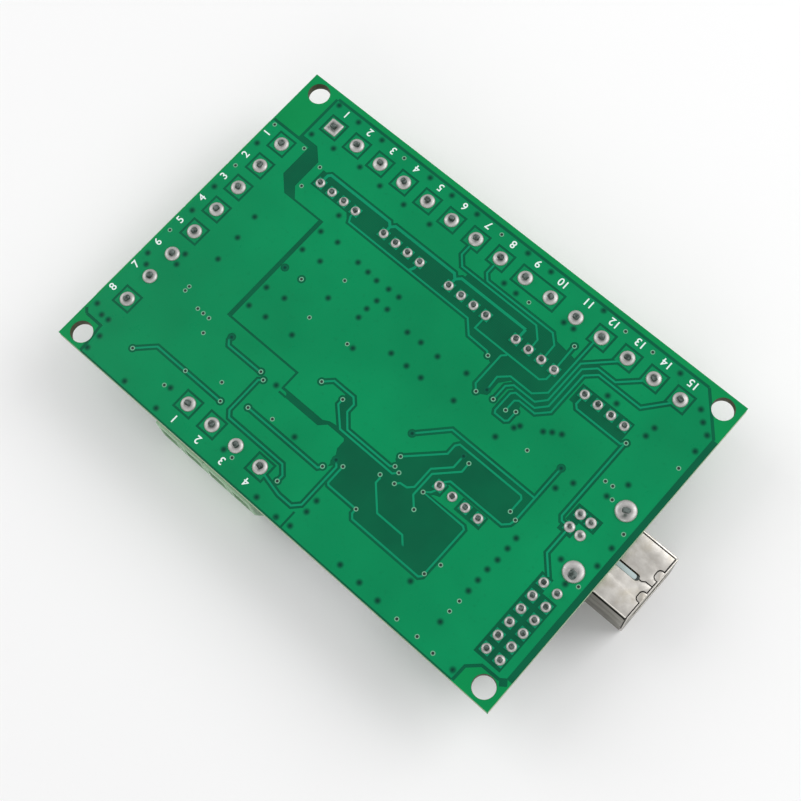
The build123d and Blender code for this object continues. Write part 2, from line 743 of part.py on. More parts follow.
usb_seat = underside(usb_line_x, usb_y, 90)
usb_contacts = usb_contact_set()
save("usb_shell", [usb_seat * usb_shell()])
save("usb_insulator", [usb_seat * usb_insulator(usb_contacts)])
save("usb_contacts", [usb_seat * contact for contact in usb_contacts])

# Beside the input terminals stand a column of lamps, one of resistors and one of isolators
input_levels = spread(input_isolators, input_isolator_pitch)
lamp_x = input_rear_x + lamp_clearance + lamp_length / 2
resistor_x = lamp_x + lamp_length / 2 + resistor_clearance + resistor_length / 2
isolator_x = resistor_x + resistor_length / 2 + input_isolator_clearance + isolator["span"] / 2
lamp_seats = [underside(lamp_x, y) for y in input_levels]
resistor_seats = [underside(resistor_x, y) for y in input_levels]
isolator_seats = [underside(isolator_x, y, 90) for y in input_levels]

# The spindle parts stand behind its terminals, and the line driver behind the axis sockets
amplifier_y = spindle_rear_y + amplifier_clearance + amplifier["span"] / 2
spindle_isolator_y = spindle_rear_y + spindle_isolator_clearance + isolator["span"] / 2
line_driver_y = axis_row_y - socket_rear - line_driver_clearance - line_driver["span"] / 2
isolator_seats.append(underside(spindle_isolator_x, spindle_isolator_y))
save_chips("microcontroller", microcontroller, [underside(*microcontroller_place)])
save_chips("line_driver", line_driver, [underside(line_driver_x, line_driver_y)])
save_chips("output_driver", output_driver, [underside(*output_driver_place)])
save_chips("amplifier", amplifier, [underside(amplifier_x, amplifier_y)])
save_chips("isolators", isolator, isolator_seats)

# The supply: regulator and diode, choke, and two cans at the lower edge
regulator_x = input_rear_x + regulator_clearance + regulator_length / 2
diode_x = regulator_x + regulator_length / 2 + diode_clearance + diode_width / 2
inductor_y = spindle_rear_y + inductor_clearance + inductor_size / 2
can_y = -board_width / 2 + can_clearance + can_base_size / 2
can_sets = [[underside(can_x + x, can_y) * piece for piece in can_capacitor()]
            for x in spread(cans, can_pitch)]
save("power_regulator", [underside(regulator_x, regulator_y) * power_regulator()])
save("power_inductor", [underside(inductor_x, inductor_y) * power_inductor()])
save("capacitor_bases", [base for base, can in can_sets])
save("capacitor_cans", [can for base, can in can_sets])
save("crystal", [underside(*crystal_place) * crystal()])
save("power_diode", [underside(diode_x, regulator_y, 90) * power_diode()])

# Small parts
pull_up_x, pull_up_y = pull_up_place
driver_x, driver_y = output_driver_place
chip_x, chip_y = microcontroller_place
resistor_seats += [underside(pull_up_x, pull_up_y + y) for y in spread(pull_up_resistors, pull_up_pitch)]
resistor_seats += [underside(driver_x + x, driver_y - output_resistor_drop, 90)
                   for x in spread(output_resistors, output_resistor_pitch)]
capacitor_seats = [underside(chip_x + x, chip_y + y, 90)
                   for x in spread(2, decoupling_spread_x) for y in spread(2, decoupling_spread_y)]
capacitor_seats += [underside(converter_x + x, converter_y + filter_capacitor_rise)
                    for x in spread(2, filter_capacitor_pitch)]
capacitor_seats += [underside(*spare_capacitor_place)]
capacitor_seats += [underside(header_x - header_capacitor_back, header_y + header_capacitor_rise)]
lamp_seats += [underside(supply_lamp_x + x, -board_width / 2 + supply_lamp_inset)
               for x in spread(supply_lamps, supply_lamp_pitch)]
save("resistors", [seat * small_block(resistor_length, resistor_width, resistor_height)
                   for seat in resistor_seats])
save("ceramic_capacitors", [seat * small_block(capacitor_length, capacitor_width, capacitor_height)
                            for seat in capacitor_seats])
save("status_lamps", [seat * small_block(lamp_length, lamp_width, lamp_height) for seat in lamp_seats])

save("terminal_solder", joints(output_places + input_places + spindle_places,
                               terminal_joint_diameter, terminal_joint_height, terminal_joint_sides))
save("axis_solder", joints(axis_places, pin_joint_diameter, pin_joint_height))
save("converter_solder", joints(converter_places, pin_joint_diameter, pin_joint_height))
save("header_solder", joints(header_places, pin_joint_diameter, pin_joint_height))
save("usb_solder", joints(usb_pin_places, pin_joint_diameter, pin_joint_height)
     + joints(usb_tab_places, tab_joint_diameter, tab_joint_height, terminal_joint_sides))
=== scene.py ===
import bpy
import bmesh
import json
from math import cos, hypot, pi, radians, sin
from mathutils import Matrix, Vector
from mathutils.geometry import delaunay_2d_cdt

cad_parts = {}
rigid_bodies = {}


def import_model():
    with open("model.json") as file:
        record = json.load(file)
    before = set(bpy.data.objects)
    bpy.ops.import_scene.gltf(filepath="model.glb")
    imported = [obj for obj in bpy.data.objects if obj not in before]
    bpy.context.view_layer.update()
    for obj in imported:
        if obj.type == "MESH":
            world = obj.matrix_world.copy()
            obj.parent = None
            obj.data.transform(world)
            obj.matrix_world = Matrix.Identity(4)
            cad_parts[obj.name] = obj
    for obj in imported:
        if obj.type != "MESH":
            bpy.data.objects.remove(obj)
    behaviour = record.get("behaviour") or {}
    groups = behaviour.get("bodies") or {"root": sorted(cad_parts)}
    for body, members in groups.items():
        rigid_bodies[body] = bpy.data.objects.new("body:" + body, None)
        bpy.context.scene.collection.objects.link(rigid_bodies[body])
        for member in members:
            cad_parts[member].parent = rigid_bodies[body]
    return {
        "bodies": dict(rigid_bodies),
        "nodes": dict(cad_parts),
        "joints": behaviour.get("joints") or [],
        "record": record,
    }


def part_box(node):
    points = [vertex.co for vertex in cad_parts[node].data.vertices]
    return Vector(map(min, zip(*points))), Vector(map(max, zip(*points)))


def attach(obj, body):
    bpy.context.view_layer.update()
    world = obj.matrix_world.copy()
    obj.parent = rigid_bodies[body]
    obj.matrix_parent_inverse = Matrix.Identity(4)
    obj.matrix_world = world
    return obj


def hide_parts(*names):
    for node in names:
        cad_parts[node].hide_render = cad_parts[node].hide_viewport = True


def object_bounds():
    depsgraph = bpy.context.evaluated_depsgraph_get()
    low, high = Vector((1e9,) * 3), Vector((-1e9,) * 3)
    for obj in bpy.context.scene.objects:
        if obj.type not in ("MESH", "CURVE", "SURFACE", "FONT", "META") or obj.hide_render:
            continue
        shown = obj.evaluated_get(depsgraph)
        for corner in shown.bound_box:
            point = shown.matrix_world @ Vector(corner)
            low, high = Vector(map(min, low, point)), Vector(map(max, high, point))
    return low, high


# Interface board with its solder side up. The frame is in metres; mm turns millimetres into them.
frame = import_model()
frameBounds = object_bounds()
mm = 0.001
sliver = 0.002  # in millimetres, the smallest distance between points that is kept
nodes = frame["nodes"]
print("frame loaded with", len(nodes), "nodes")


# Modelling by hand, in short steps

def pick(*pieces):
    bpy.ops.object.select_all(action="DESELECT")
    for piece in pieces:
        piece.select_set(True)
    bpy.context.view_layer.objects.active = pieces[-1]


def settle(piece):
    pick(piece)
    bpy.ops.object.transform_apply(location=True, rotation=True, scale=True)
    return piece


def block(name, low, high):
    size = [(b - a) * mm for a, b in zip(low, high)]
    middle = [(a + b) / 2 * mm for a, b in zip(low, high)]
    bpy.ops.mesh.primitive_cube_add(size=1, location=middle, scale=size)
    piece = bpy.context.object
    piece.name = name
    return settle(piece)


def rod(name, centre, radius, length, sides=32, turn=(0, 0, 0)):
    place = [value * mm for value in centre]
    bpy.ops.mesh.primitive_cylinder_add(vertices=sides, radius=radius * mm, depth=length * mm,
                                        location=place, rotation=turn)
    piece = bpy.context.object
    piece.name = name
    return settle(piece)


def sheetOf(name, points):
    # A flat face from its outline, in millimetres
    mesh = bpy.data.meshes.new(name)
    mesh.from_pydata([Vector(point) * mm for point in points], [], [range(len(points))])
    piece = bpy.data.objects.new(name, mesh)
    bpy.context.collection.objects.link(piece)
    return piece


def drawOut(piece, reach):
    # Extrudes the whole flat face along a vector in millimetres
    pick(piece)
    bpy.ops.object.mode_set(mode="EDIT")
    bpy.ops.mesh.select_all(action="SELECT")
    bpy.ops.mesh.extrude_region_move(TRANSFORM_OT_translate={"value": Vector(reach) * mm})
    bpy.ops.mesh.select_all(action="SELECT")
    bpy.ops.mesh.normals_make_consistent(inside=False)
    bpy.ops.object.mode_set(mode="OBJECT")
    return piece


def sideBar(name, outline, width):
    # A bar along X with its outline in Y and Z
    return drawOut(sheetOf(name, [(-width / 2, y, z) for y, z in outline]), (width, 0, 0))


def lathe(name, profile, steps=32):
    # Spins a profile of radius and height about Z
    mesh = bpy.data.meshes.new(name)
    line = [(radius * mm, 0, height * mm) for radius, height in profile]
    mesh.from_pydata(line, [(i, i + 1) for i in range(len(line) - 1)], [])
    piece = bpy.data.objects.new(name, mesh)
    bpy.context.collection.objects.link(piece)
    pick(piece)
    bpy.ops.object.mode_set(mode="EDIT")
    bpy.ops.mesh.select_all(action="SELECT")
    bpy.ops.mesh.spin(steps=steps, angle=2 * pi, center=(0, 0, 0), axis=(0, 0, 1))
    bpy.ops.mesh.select_all(action="SELECT")
    bpy.ops.mesh.remove_doubles(threshold=1e-7)
    bpy.ops.mesh.normals_make_consistent(inside=False)
    bpy.ops.object.mode_set(mode="OBJECT")
    return piece


def chooseFaces(piece, wanted):
    # Leaves the piece in edit mode with the wanted faces selected
    pick(piece)
    bpy.ops.object.mode_set(mode="EDIT")
    bpy.ops.mesh.select_mode(type="FACE")
    bpy.ops.mesh.select_all(action="DESELECT")
    bpy.ops.object.mode_set(mode="OBJECT")
    for face in piece.data.polygons:
        face.select = wanted(face)
    bpy.ops.object.mode_set(mode="EDIT")


def raiseTop(piece, rise, share):
    # Extrudes the top faces upwards and scales them about the Z axis
    top = max(vert.co.z for vert in piece.data.vertices)
    chooseFaces(piece, lambda face: abs(face.center.z - top) < 1e-7)
    bpy.ops.mesh.extrude_region_move(TRANSFORM_OT_translate={"value": (0, 0, rise * mm)})
    bpy.ops.transform.resize(value=(share, share, 1), center_override=(0, 0, 0))
    bpy.ops.object.mode_set(mode="OBJECT")


def tower(name, outline, low, steps):
    # Raises a flat outline in steps, each a rise and the scale of its top
    piece = sheetOf(name, [(x, y, low) for x, y in outline])
    for rise, share in steps:
        raiseTop(piece, rise, share)
    pick(piece)
    bpy.ops.object.mode_set(mode="EDIT")
    bpy.ops.mesh.select_all(action="SELECT")
    bpy.ops.mesh.normals_make_consistent(inside=False)
    bpy.ops.object.mode_set(mode="OBJECT")
    return piece


def oblong(length, width, cut=0.0, steps=1):
    # A rectangle, with its corners cut off or, in more steps, rounded
    if not cut:
        return [(-length / 2, -width / 2), (length / 2, -width / 2),
                (length / 2, width / 2), (-length / 2, width / 2)]
    outline = []
    for quarter in range(4):
        middle = pi * (quarter / 2 - 0.25)
        x = (length / 2 - cut) * (1 if cos(middle) > 0 else -1)
        y = (width / 2 - cut) * (1 if sin(middle) > 0 else -1)
        for i in range(steps + 1):
            angle = middle - pi / 4 + pi / 2 * i / steps
            outline.append((x + cut * cos(angle), y + cut * sin(angle)))
    return outline


def applyTo(piece, kind, **settings):
    pick(piece)
    modifier = piece.modifiers.new(kind.title(), kind)
    for name, value in settings.items():
        setattr(modifier, name, value)
    bpy.ops.object.modifier_apply(modifier=modifier.name)
    return piece


def cleaned(piece):
    # Merges points that lie together and drops the slivers between them
    pick(piece)
    bpy.ops.object.mode_set(mode="EDIT")
    bpy.ops.mesh.select_all(action="SELECT")
    bpy.ops.mesh.remove_doubles(threshold=sliver * mm)
    bpy.ops.mesh.dissolve_degenerate(threshold=sliver * mm)
    bpy.ops.object.mode_set(mode="OBJECT")
    return piece


def soften(piece, width, segments=2, angle=40):
    return applyTo(piece, "BEVEL", width=width * mm, segments=segments, limit_method="ANGLE",
                   angle_limit=radians(angle), use_clamp_overlap=True)


def shifted(piece, x, y, z=0.0):
    piece.data.transform(Matrix.Translation(Vector((x, y, z)) * mm))
    return piece


def carve(piece, cutters, operation="DIFFERENCE"):
    cutter = joined(cutters[0].name, cutters)
    applyTo(piece, "BOOLEAN", operation=operation, solver="EXACT", object=cutter, use_self=True)
    bpy.data.objects.remove(cutter)
    return piece


def joined(name, pieces):
    pick(*pieces)
    if len(pieces) > 1:
        bpy.ops.object.join()
    whole = bpy.context.object
    whole.name = name
    return whole


def smoothed(piece, angle=35):
    pick(piece)
    bpy.ops.object.shade_smooth_by_angle(angle=radians(angle))
    return piece


def twin(piece, matrix):
    # A copy with its own mesh, moved in its mesh
    made = piece.copy()
    made.data = piece.data.copy()
    made.data.transform(matrix)
    bpy.context.collection.objects.link(made)
    return made


def setOut(name, model, seats):
    # One piece made of a copy of the model at every seat
    copies = [twin(model, seat) for seat in seats]
    bpy.data.objects.remove(model)
    return joined(name, copies)


def fit(piece, slot, finishes, *replaced):
    for finish in finishes if isinstance(finishes, list) else [finishes]:
        piece.data.materials.append(finish)
    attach(piece, "root")
    if replaced:
        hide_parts(*replaced)
    return piece


def dress(node, finish):
    # A CAD node that stays keeps its shape and gets a finish
    nodes[node].data.materials.clear()
    nodes[node].data.materials.append(finish)


# Places read from the frame, in millimetres

def boxOf(node):
    low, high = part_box(node)
    return low / mm, high / mm


def solidBoxes(node):
    # The box of each separate solid of a node, in rows from the top edge down
    shell = bmesh.new()
    shell.from_mesh(nodes[node].data)
    bmesh.ops.remove_doubles(shell, verts=shell.verts, dist=1e-6)
    waiting = set(shell.verts)
    boxes = []
    while waiting:
        solid, edge = set(), [min(waiting, key=lambda vert: vert.index)]
        while edge:
            vert = edge.pop()
            if vert in solid:
                continue
            solid.add(vert)
            edge += [link.other_vert(vert) for link in vert.link_edges]
        waiting -= solid
        corners = [vert.co / mm for vert in solid]
        low = Vector([min(corner[i] for corner in corners) for i in range(3)])
        high = Vector([max(corner[i] for corner in corners) for i in range(3)])
        boxes.append((low, high))
    shell.free()
    return sorted(boxes, key=lambda box: (-round(box[0].y + box[1].y, 1), box[0].x))


def centres(node):
    return [(low + high) / 2 for low, high in solidBoxes(node)]


boardLow, boardHigh = boxOf("circuit_board")
copperTop = boxOf("solder_side_copper")[1].z
componentFace = boardLow.z


def seatBelow(x, y, turn=0):
    # Local +Z points away from the board, and local +Y, a part's front, to -Y before the turn
    place = Matrix.Translation(Vector((x, y, componentFace)) * mm)
    return place @ Matrix.Rotation(radians(turn), 4, "Z") @ Matrix.Rotation(pi, 4, "X")


def seatAbove(x, y, turn=0):
    return Matrix.Translation(Vector((x, y, copperTop)) * mm) @ Matrix.Rotation(radians(turn), 4, "Z")


# Materials

class Wire:
    # One shader socket, so that sums on it can be written as sums
    def __init__(self, finish, socket):
        self.finish = finish
        self.socket = socket

    def sum(self, operation, *values):
        return self.finish.node("ShaderNodeMath", {"operation": operation},
                                dict(enumerate(values)))

    def __add__(self, other):
        return self.sum("ADD", self, other)

    def __radd__(self, other):
        return self.sum("ADD", other, self)

    def __sub__(self, other):
        return self.sum("SUBTRACT", self, other)

    def __rsub__(self, other):
        return self.sum("SUBTRACT", other, self)

    def __mul__(self, other):
        return self.sum("MULTIPLY", self, other)

    def __rmul__(self, other):
        return self.sum("MULTIPLY", other, self)

    def __truediv__(self, other):
        return self.sum("DIVIDE", self, other)


class Finish:
    def __init__(self, name, color, roughness, **values):
        self.material = bpy.data.materials.new(name)
        self.material.use_nodes = True
        self.material.diffuse_color = (*color, 1)
        self.tree = self.material.node_tree
        self.shader = self.tree.nodes["Principled BSDF"]
        self.shader.inputs["Base Color"].default_value = (*color, 1)
        self.shader.inputs["Roughness"].default_value = roughness
        for name, value in values.items():
            self.shader.inputs[name.replace("_", " ")].default_value = value
        self.color = color

    def node(self, kind, settings=None, inputs=None, output=0):
        made = self.tree.nodes.new(kind)
        for name, value in (settings or {}).items():
            if name == "stops":
                self.setStops(made, value)
            else:
                setattr(made, name, value)
        for name, value in (inputs or {}).items():
            if isinstance(value, Wire):
                self.tree.links.new(value.socket, made.inputs[name])
            else:
                made.inputs[name].default_value = value
        return Wire(self, made.outputs[output])

    def setStops(self, ramp, stops):
        while len(ramp.color_ramp.elements) < len(stops):
            ramp.color_ramp.elements.new(0.5)
        for element, (place, value) in zip(ramp.color_ramp.elements, stops):
            element.position = place
            element.color = (value, value, value, 1)

    def feed(self, socket, wire):
        self.tree.links.new(wire.socket, self.shader.inputs[socket])
        return self

    def place(self):
        return self.node("ShaderNodeTexCoord", output="Object")

    def noise(self, size, detail=3, roughness=0.55, stretch=(1, 1, 1)):
        # Value noise whose features are about size millimetres wide
        scale = tuple(value / (size * mm) for value in stretch)
        spot = self.node("ShaderNodeMapping", None, {"Vector": self.place(), "Scale": scale})
        return self.node("ShaderNodeTexNoise", None,
                         {"Vector": spot, "Scale": 1, "Detail": detail, "Roughness": roughness})

    def wave(self, size, direction, distortion=0.0):
        return self.node("ShaderNodeTexWave", {"bands_direction": direction},
                         {"Vector": self.place(), "Scale": 1 / (size * mm * 3.18), "Distortion": distortion})

    def ramp(self, value, stops):
        return self.node("ShaderNodeValToRGB", {"stops": stops}, {"Fac": value})

    def blendColor(self, factor, first, second):
        def whole(color):
            return color if isinstance(color, Wire) else (*color, 1)
        return self.node("ShaderNodeMix", {"data_type": "RGBA"},
                         {0: factor, 6: whole(first), 7: whole(second)}, output=2)

    def uneven(self, amount, size, tone=0.8):
        # The base colour drifts a little over the surface
        darker = tuple(value * tone for value in self.color)
        drift = self.ramp(self.noise(size), [(0.35, 0.0), (0.65, amount)])
        return self.feed("Base Color", self.blendColor(drift, self.color, darker))

    def scuffed(self, low, high, size, stretch=(1, 1, 1)):
        # The roughness wanders between two values
        spread = self.ramp(self.noise(size, 5, 0.6, stretch), [(0.3, 0.0), (0.7, 1.0)])
        return self.feed("Roughness", spread * (high - low) + low)

    def relief(self, height, depth, strength=1.0):
        # height is a value from 0 to 1 and depth its rise in millimetres
        return self.feed("Normal", self.node("ShaderNodeBump", None,
                                             {"Height": height, "Distance": depth * mm,
                                              "Strength": strength}))


def maskOverCopper(name, color, light):
    # Lacquer over copper, with soft painted shade in the dimples where it covers the vias
    finish = Finish(name, color, 0.3, Specular_IOR_Level=0.12)
    depth = finish.node("ShaderNodeAttribute", {"attribute_name": "viaDepth"}, output="Fac")
    drift = finish.ramp(finish.noise(26), [(0.3, 0.0), (0.7, 1.0)])
    ground = finish.blendColor(drift, color, light)
    speck = finish.ramp(finish.noise(0.9, 3), [(0.6, 0.0), (0.74, 0.3)])
    ground = finish.blendColor(speck, ground, tuple(value * 0.8 for value in color))
    # Painted shade: the colour darkens over each covered via
    finish.feed("Base Color", finish.blendColor(depth, ground, (0.0, 0.042, 0.026)))
    finish.relief(finish.noise(1.4), 0.004)
    return finish.scuffed(0.26, 0.38, 6).material


def maskOverLaminate(name, color, light):
    # The same lacquer on bare glass cloth, whose threads just show through
    finish = Finish(name, color, 0.3, Specular_IOR_Level=0.12)
    cloth = (finish.wave(0.3, "X") + finish.wave(0.3, "Y")) * 0.5
    threads = finish.ramp(cloth, [(0.3, 0.0), (0.7, 1.0)])
    drift = finish.ramp(finish.noise(9), [(0.35, 0.0), (0.65, 0.5)])
    ground = finish.blendColor(threads * 0.35 + drift, color, light)
    finish.feed("Base Color", ground)
    finish.relief(finish.noise(1.4), 0.004)
    return finish.scuffed(0.26, 0.38, 6).material


def laminateEdge():
    # Cut glass-epoxy: pale, with its layers showing
    finish = Finish("laminateEdge", (0.38, 0.46, 0.3), 0.62)
    layers = finish.ramp(finish.wave(0.22, "Z", 1.5), [(0.3, 0.0), (0.7, 0.55)])
    finish.feed("Base Color", finish.blendColor(layers, (0.42, 0.5, 0.34), (0.22, 0.33, 0.19)))
    return finish.relief(finish.noise(0.3, 4), 0.02).material


def solderMetal():
    # Wave-soldered tin: pale and satin, with faint grain, blotched round the pin partly by flux and partly by
    # painted shade of the pin
    finish = Finish("solderMetal", (0.58, 0.57, 0.555), 0.46, Metallic=0.7)
    grain = finish.ramp(finish.noise(0.9, 3), [(0.3, 0.0), (0.7, 1.0)])
    ground = finish.blendColor(grain, (0.6, 0.59, 0.575), (0.47, 0.455, 0.445))
    near = finish.node("ShaderNodeAttribute", {"attribute_name": "nearPin"}, output="Fac")
    blotch = finish.ramp(finish.noise(1.0, 3), [(0.36, 0.4), (0.6, 1.0)])
    # Painted shade of the pin, broken up by flux blotches, darkens the solder round it
    finish.feed("Base Color", finish.blendColor(near * blotch, ground, (0.075, 0.095, 0.085)))
    finish.relief(finish.noise(0.5, 4), 0.012)
    return finish.scuffed(0.38, 0.58, 0.5).material


def dullPin():
    # The cut end of a pin, painted dark as the shade round it and its dark reflection, and blotched by a
    # little flux left round it
    finish = Finish("dullPin", (0.07, 0.09, 0.08), 0.45, Metallic=0.3)
    blotch = finish.ramp(finish.noise(0.55, 3), [(0.38, 0.0), (0.6, 1.0)])
    finish.feed("Base Color", finish.blendColor(blotch, (0.025, 0.04, 0.034), (0.13, 0.16, 0.15)))
    return finish.relief(finish.noise(0.3, 4), 0.03).material


def tinnedMetal(name="tinnedMetal", color=(0.7, 0.69, 0.66)):
    finish = Finish(name, color, 0.3, Metallic=1.0)
    finish.uneven(0.6, 1.2, 0.82)
    return finish.scuffed(0.24, 0.4, 0.6).material


def platedSteel():
    finish = Finish("platedSteel", (0.64, 0.64, 0.6), 0.34, Metallic=1.0)
    finish.uneven(0.6, 1.5, 0.8)
    finish.relief(finish.noise(0.25, 3, 0.6, (1, 6, 1)), 0.008)
    return finish.scuffed(0.26, 0.46, 0.8).material


def nickelSheet():
    # Drawn sheet with a warm cast, clouded by handling, with a few stains
    finish = Finish("nickelSheet", (0.74, 0.71, 0.66), 0.34, Metallic=1.0)
    cloud = finish.ramp(finish.noise(1.3, 5, 0.65, (0.7, 1, 1)), [(0.36, 0.0), (0.64, 0.85)])
    stain = finish.ramp(finish.noise(2.4, 4), [(0.52, 0.0), (0.7, 0.6)])
    worn = finish.blendColor(cloud, (0.8, 0.77, 0.72), (0.62, 0.59, 0.545))
    finish.feed("Base Color", finish.blendColor(stain, worn, (0.58, 0.53, 0.43)))
    finish.relief(finish.noise(0.9, 3), 0.006)
    return finish.scuffed(0.28, 0.42, 1.8).material


def nickelSide():
    # The side walls and the mouth are a little rougher than the sheet on the board side, and painted darker
    # as shade from how the light falls on them
    finish = Finish("nickelSide", (0.3, 0.29, 0.25), 0.4, Metallic=0.9)
    streak = finish.ramp(finish.noise(1.1, 4, 0.6, (0.2, 1, 1)), [(0.35, 0.0), (0.65, 1.0)])
    finish.feed("Base Color", finish.blendColor(streak, (0.235, 0.225, 0.195), (0.37, 0.355, 0.315)))
    finish.relief(finish.noise(0.9, 3), 0.01)
    return finish.scuffed(0.32, 0.5, 1.4).material


def darkSteel():
    # Painted shadow: a near-black metal for the inside faces, which only show through the seams, where shade
    # falls
    finish = Finish("darkSteel", (0.025, 0.024, 0.021), 0.6, Metallic=0.3)
    finish.uneven(0.8, 0.6, 0.6)
    return finish.relief(finish.noise(0.5, 3), 0.01).material


def goldPlate():
    finish = Finish("goldPlate", (0.83, 0.62, 0.28), 0.26, Metallic=1.0)
    finish.uneven(0.5, 0.8, 0.85)
    return finish.scuffed(0.2, 0.34, 0.5).material


def viaTin():
    finish = Finish("viaTin", (0.17, 0.42, 0.27), 0.45)
    finish.uneven(0.6, 0.6, 0.8)
    return finish.relief(finish.noise(0.3), 0.01).material


def viaBore():
    # Painted shadow: a near-black plug stands in for the shade inside each open via hole
    finish = Finish("viaBore", (0.006, 0.02, 0.012), 0.5)
    return finish.uneven(1.0, 0.2, 0.5).material


def printWhite():
    finish = Finish("printWhite", (0.8, 0.9, 0.88), 0.55)
    finish.uneven(0.5, 0.4, 0.85)
    return finish.relief(finish.noise(0.15, 3), 0.006).material


def moulded(name, color, roughness=0.42, grain=0.22, depth=0.012, **values):
    # Injection-moulded plastic: fine spark texture and slight flow marks
    finish = Finish(name, color, roughness, **values)
    finish.uneven(0.6, 3.5, 0.86)
    finish.relief(finish.noise(grain, 3), depth)
    return finish.scuffed(roughness - 0.07, roughness + 0.09, 1.2).material


def brushedCan():
    # Drawn aluminium with fine rings
    finish = Finish("brushedCan", (0.78, 0.79, 0.8), 0.28, Metallic=1.0)
    finish.uneven(0.4, 3.0, 0.93)
    finish.relief(finish.noise(0.12, 3, 0.6, (0.4, 0.4, 3)), 0.004)
    return finish.scuffed(0.24, 0.33, 2.5).material


def floorPaper():
    finish = Finish("floorPaper", (0.91, 0.91, 0.91), 0.75)
    drift = finish.ramp(finish.noise(180), [(0.3, 0.0), (0.7, 0.4)])
    finish.feed("Base Color", finish.blendColor(drift, (0.92, 0.92, 0.92), (0.89, 0.89, 0.895)))
    return finish.material


finishes = {
    "overCopper": maskOverCopper("maskOverPour", (0.0, 0.208, 0.075), (0.0, 0.265, 0.095)),
    "overTrace": maskOverCopper("maskOverTrace", (0.001, 0.232, 0.108), (0.002, 0.278, 0.13)),
    "edge": laminateEdge(),
    "deep": maskOverLaminate("maskDeep", (0.0, 0.088, 0.041), (0.0, 0.13, 0.055)),
    "border": maskOverLaminate("maskBorder", (0.0, 0.225, 0.064), (0.001, 0.27, 0.078)),
    # Painted shade: the walls of the mounting holes are drawn dark for the shade inside them
    "drilled": Finish("drilledWall", (0.09, 0.085, 0.045), 0.7).uneven(0.8, 0.4, 0.6).material,
    "solder": solderMetal(), "pin": dullPin(), "tin": tinnedMetal(), "steel": platedSteel(),
    "nickel": nickelSheet(), "side": nickelSide(), "dark": darkSteel(), "gold": goldPlate(),
    "viaTin": viaTin(), "viaBore": viaBore(),
    "print": printWhite(), "can": brushedCan(), "floor": floorPaper(),
    "terminal": moulded("terminalGreen", (0.29, 0.47, 0.295), 0.4, 0.3, 0.01),
    "ceramicWhite": moulded("ceramicWhite", (0.74, 0.74, 0.7), 0.5, 0.2, 0.006),
    "socket": moulded("socketWhite", (0.8, 0.78, 0.7), 0.38, 0.3, 0.01),
    "insulator": moulded("insulatorPale", (0.46, 0.56, 0.56), 0.4, 0.3, 0.01),
    "black": moulded("blackMoulding", (0.012, 0.012, 0.013), 0.42, 0.18, 0.015),
    "potting": moulded("pottingResin", (0.02, 0.02, 0.022), 0.24, 1.6, 0.05),
    "chip": moulded("chipEpoxy", (0.02, 0.02, 0.022), 0.5, 0.12, 0.012),
    "ferrite": moulded("ferriteGrey", (0.06, 0.06, 0.062), 0.55, 0.15, 0.02),
    "resistor": moulded("resistorGlaze", (0.014, 0.014, 0.018), 0.3, 0.4, 0.008),
    "ceramic": moulded("ceramicTan", (0.42, 0.28, 0.17), 0.42, 0.2, 0.012),
    "lens": moulded("lampLens", (0.72, 0.74, 0.56), 0.2, 0.5, 0.006, Transmission_Weight=0.25),
}
print("finishes made:", len(finishes))


# The laminate

laminate = dict(cornerRadius=0.5, edgeBreak=0.12, holeRadius=1.8, holeInset=(2.8, 2.5), holeSides=48)


def holeCentres():
    insetX, insetY = laminate["holeInset"]
    return [(x, y) for x in (boardLow.x + insetX, boardHigh.x - insetX)
            for y in (boardLow.y + insetY, boardHigh.y - insetY)]


def makeLaminate():
    board = block("laminate", boardLow, boardHigh)
    board.data.name = "laminate"
    pick(board)
    bpy.ops.object.mode_set(mode="EDIT")
    bpy.ops.mesh.select_all(action="DESELECT")
    bpy.ops.object.mode_set(mode="OBJECT")
    for edge in board.data.edges:
        first, second = (board.data.vertices[i].co for i in edge.vertices)
        edge.select = abs(first.z - second.z) > 0.5 * mm
    bpy.ops.object.mode_set(mode="EDIT")
    bpy.ops.mesh.select_mode(type="EDGE")
    bpy.ops.mesh.bevel(offset=laminate["cornerRadius"] * mm, segments=5, affect="EDGES")
    bpy.ops.object.mode_set(mode="OBJECT")
    drills = [rod("drill", (x, y, componentFace / 2), laminate["holeRadius"], 4, laminate["holeSides"])
              for x, y in holeCentres()]
    carve(board, drills)
    soften(board, laminate["edgeBreak"], 2, 60)
    fit(board, "solder_mask", [finishes["edge"], finishes["border"], finishes["drilled"]], "circuit_board")
    reach = (laminate["holeRadius"] + 0.3) * mm
    for face in board.data.polygons:
        inHole = any(hypot(face.center.x - x * mm, face.center.y - y * mm) < reach for x, y in holeCentres())
        # Faces in the mounting holes take the finish painted dark as shade
        face.material_index = 1 if abs(face.normal.z) > 0.9 else 2 if inHole else 0
    return smoothed(board, 30)


makeLaminate()
print("laminate made")


# Art of the solder face: pour, gaps, traces and vias, in millimetres. Their places were read one by one.

art = dict(gap=0.36, trace=0.32, rail=0.48, island=1.45, filmTop=0.008, viaRing=0.37, viaHole=0.24,
           viaPad=0.42, dimple=0.72, dimpleDepth=0.022, ringRise=0.015, shore=0.5, broadEdgeShade=1.2)

pour = [(-38.2, 28.5), (37.7, 28.5), (43.2, 22.5), (43.2, -24.4), (42.4, -25.0), (39.2, -25.1), (37.3, -26.9),
        (37.2, -29.6), (-39.2, -29.6), (-39.3, -28.2), (-39.7, -24.5), (-43.0, -24.5), (-43.6, -23.9),
        (-43.9, -22.5), (-43.9, 19.1), (-38.2, 19.1)]

